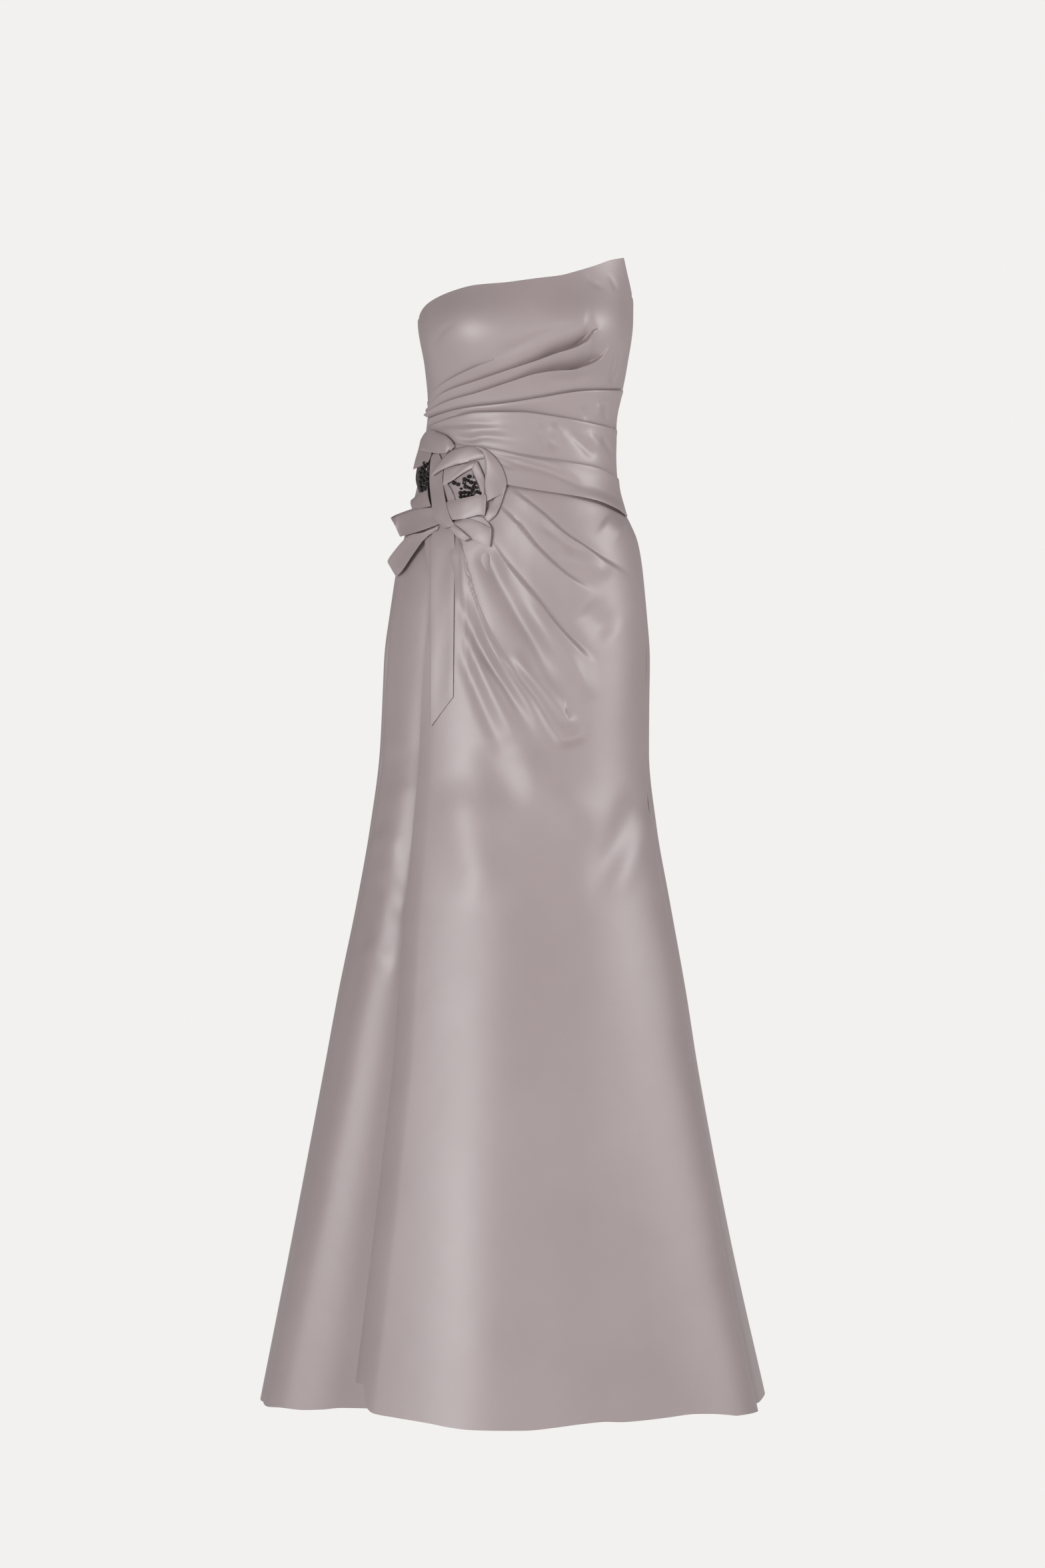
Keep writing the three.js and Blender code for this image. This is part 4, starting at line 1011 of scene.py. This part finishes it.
FRONT_BEADS = [
    # x, up, size
    (-81.2, 1101, 5.2), (-76.4, 1099, 5), (-68.7, 1105, 5.8), (-63.4, 1108.2, 5.2), (-59.2, 1107.9, 5.2),
    (-61, 1101.1, 5), (-56.2, 1100.2, 4.8), (-67.3, 1096, 5.4), (-73.5, 1088.7, 5.4), (-68.8, 1089.2, 5),
    (-63.9, 1088.7, 5), (-59.4, 1092.9, 5.2), (-58.8, 1088.5, 5.6), (-53.4, 1089.6, 5.2),
    (-73.2, 1084.2, 4.6), (-64.8, 1084.4, 4.8), (-69.2, 1100.6, 4.6), (-64.4, 1103.4, 4.4),
    (-57.8, 1096.4, 4.2), (-54.2, 1094.6, 4), (-69, 1084.6, 4.2), (-60.2, 1084.9, 4.4),
    (-49.8, 1087.9, 4), (-63.2, 1094.6, 4), (-72.6, 1094, 3.4),
]
SIDE_BEADS = [
    # x, up, size
    (-120.2, 1120.9, 4.8), (-116.6, 1123.4, 4.8), (-122, 1116, 5), (-117.8, 1117.4, 5.2),
    (-114.4, 1119.4, 4.6), (-121.7, 1110.4, 5.2), (-117.4, 1112.4, 5), (-113.8, 1113.4, 4.6),
    (-122.4, 1104.6, 5), (-118.4, 1106.6, 5.2), (-114.2, 1107.4, 4.8), (-121.2, 1099, 5),
    (-117.2, 1100.8, 5), (-113.6, 1101.6, 4.6), (-119.6, 1094, 4.8), (-115.8, 1095.4, 4.8),
    (-117.4, 1127.4, 4.4), (-113.6, 1126, 4.2),
]
bead_nest("beads_front", FRONT_BEADS, 3.9)
bead_nest("beads_side", SIDE_BEADS, 4.4)

# %% [markdown]
# A concealed zip shows nothing but its slider and pull at the top of the middle back seam. Both are small
# zinc castings, enamelled to match. The pull hangs on the slider's bridge and is the one part that moves.

# %% Zip slider and pull
SOFT_EDGE = 0.0003  # m


def plate(name, profile, thick, centre_y, body, node):
    """A plate in the XZ plane from half a profile of (half width, height) in mm, with softened edges."""
    ring = profile + [(-w, z) for w, z in reversed(profile)]
    front, back = centre_y - thick / 2, centre_y + thick / 2
    points = [(x / 1000, y / 1000, (z - HOLD_UP) / 1000) for y in (front, back) for x, z in ring]
    n = len(ring)
    faces = [tuple(range(n)), tuple(range(2 * n - 1, n - 1, -1))]
    faces += [((k + 1) % n, k, n + k, n + (k + 1) % n) for k in range(n)]
    piece = new_piece(name, new_mesh(name, points, faces, [zinc]), body, "zip_metal")
    soften = piece.modifiers.new("soft_edges", "BEVEL")
    soften.width, soften.segments = SOFT_EDGE, 3
    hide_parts(node)


def depth_and_height(node):
    """Front, back, foot and top of a node, in mm."""
    (_, front, foot), (_, back, top) = [[c * 1000 for c in corner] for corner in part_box(node)]
    return front, back, foot + HOLD_UP, top + HOLD_UP


front, back, foot, top = depth_and_height("zip_slider")
plate(
    "zip_slider_body",
    [(1.2, foot), (2.0, foot + 1), (2.6, foot + 4), (3.4, foot + 7), (3.2, top - 0.6), (1.4, top)],
    (back - front) * 0.8, (front + back) / 2 - 0.2, "gown", "zip_slider",
)
front, back, foot, top = depth_and_height("zip_pull")
plate(
    "zip_pull_tab",
    [(1.8, foot), (2.7, foot + 1), (3.0, foot + 3), (2.6, foot + 8), (1.6, foot + 13), (1.5, top - 1.4),
     (0.9, top)],
    (back - front) * 0.9, (front + back) / 2, "zip_pull", "zip_pull",
)
print("zip pull", round(top - foot, 1), "mm long")

# %% [markdown]
# The setting is a pale sweep, a floor that curves up into a far wall, so bright that the lens sees it as
# plain paper. The floor throws more light on the cloth than the wall and the air do, so the folds keep their
# contrast. The key light stands left of the lens at bust height, a weaker fill on the right and higher up,
# and a weak third light, low and right of the lens, opens the shadows.

# %% Sweep and lights
PAPER, PAPER_SEEN = "#f2f1ef", 1.0
HALF_SWEEP, WALL_Y, WALL_TOP, BEND, BELOW_HEM = 12.0, 9.5, 8.0, 1.2, 0.012


def paper_glow(tree, kind, output, place, heights, strengths):
    """Paper white to the lens; on the cloth, one strength to the other between the heights."""
    height = add_node(tree, "SeparateXYZ", links={"Vector": place}).outputs["Z"]
    ends = dict(zip(("From Min", "From Max", "To Min", "To Max"), heights + strengths))
    thrown = add_node(tree, "MapRange", ends, {"Value": height}).outputs["Result"]
    seen = add_node(tree, "LightPath").outputs["Is Camera Ray"]
    strength = add_node(tree, "Mix", {"B": PAPER_SEEN}, {"Factor": seen, "A": thrown}, data_type="FLOAT")
    glow = add_node(tree, kind, {"Color": linear(PAPER)}, {"Strength": strength.outputs["Result"]})
    add_node(tree, output, links={"Surface": glow.outputs[0]})


def soft_box(name, place, aim, wide, tall, watts):
    light = bpy.data.lights.new(name, "AREA")
    light.shape, light.size, light.size_y, light.energy = "RECTANGLE", wide, tall, watts
    lamp = new_object(name, light)
    lamp.location = place
    lamp.rotation_euler = (Vector(aim) - Vector(place)).to_track_quat("-Z", "Y").to_euler()


material, tree, place = new_material("overlit_paper_sweep")
paper_glow(tree, "Emission", "OutputMaterial", place, (-1.3, -0.6), (0.7, 0.3))
turns = np.linspace(0, math.pi / 2, 12)
bend = [(WALL_Y - BEND + BEND * math.sin(a), BEND - BEND * math.cos(a)) for a in turns]
profile = [(-HALF_SWEEP, 0.0)] + bend + [(WALL_Y, WALL_TOP)]
floor = -HOLD_UP / 1000 - BELOW_HEM
points = [(x, y, floor + z) for x in (-HALF_SWEEP, HALF_SWEEP) for y, z in profile]
n = len(profile)
faces = [(k, k + n, k + n + 1, k + 1) for k in range(n - 1)]
new_object("sweep", new_mesh("sweep", points, faces, [material]))

world = bpy.data.worlds.new("studio_air")
bpy.context.scene.world = world
world.use_nodes = True
tree = world.node_tree
tree.nodes.clear()
look = add_node(tree, "TexCoord").outputs["Generated"]
paper_glow(tree, "Background", "OutputWorld", look, (-0.1, 0.5), (0.4, 0.1))
soft_box("key", (-2.3, -3.9, -0.1), (0, 0, -0.6), 1.5, 1.7, 110)
soft_box("fill", (3.9, -1.5, 0.9), (0, 0, -0.9), 1.4, 1.4, 84)
soft_box("low_front", (1.5, -4.4, -0.6), (0, 0, -0.3), 1.3, 1.0, 16)
bpy.context.scene.view_settings.view_transform = "Standard"

# %% [markdown]
# The photograph was taken level with the thigh from 5.5 m, with a long lens, so the hem curves a little
# and the neck edge is seen from just below. The frame is 1.88 m tall at the gown.

# %% Camera
DISTANCE, FRAME_TALL = 5.5, 1.8816  # m
EYE_UP, SENSOR_MM = 745, 36
camera = bpy.data.cameras.new("photo_lens")
camera.sensor_width = SENSOR_MM
camera.lens = SENSOR_MM * DISTANCE / FRAME_TALL
view = new_object("photo_view", camera)
view.location = (0, -DISTANCE, (EYE_UP - HOLD_UP) / 1000)
view.rotation_euler = (math.pi / 2, 0, 0)
bpy.context.scene.camera = view
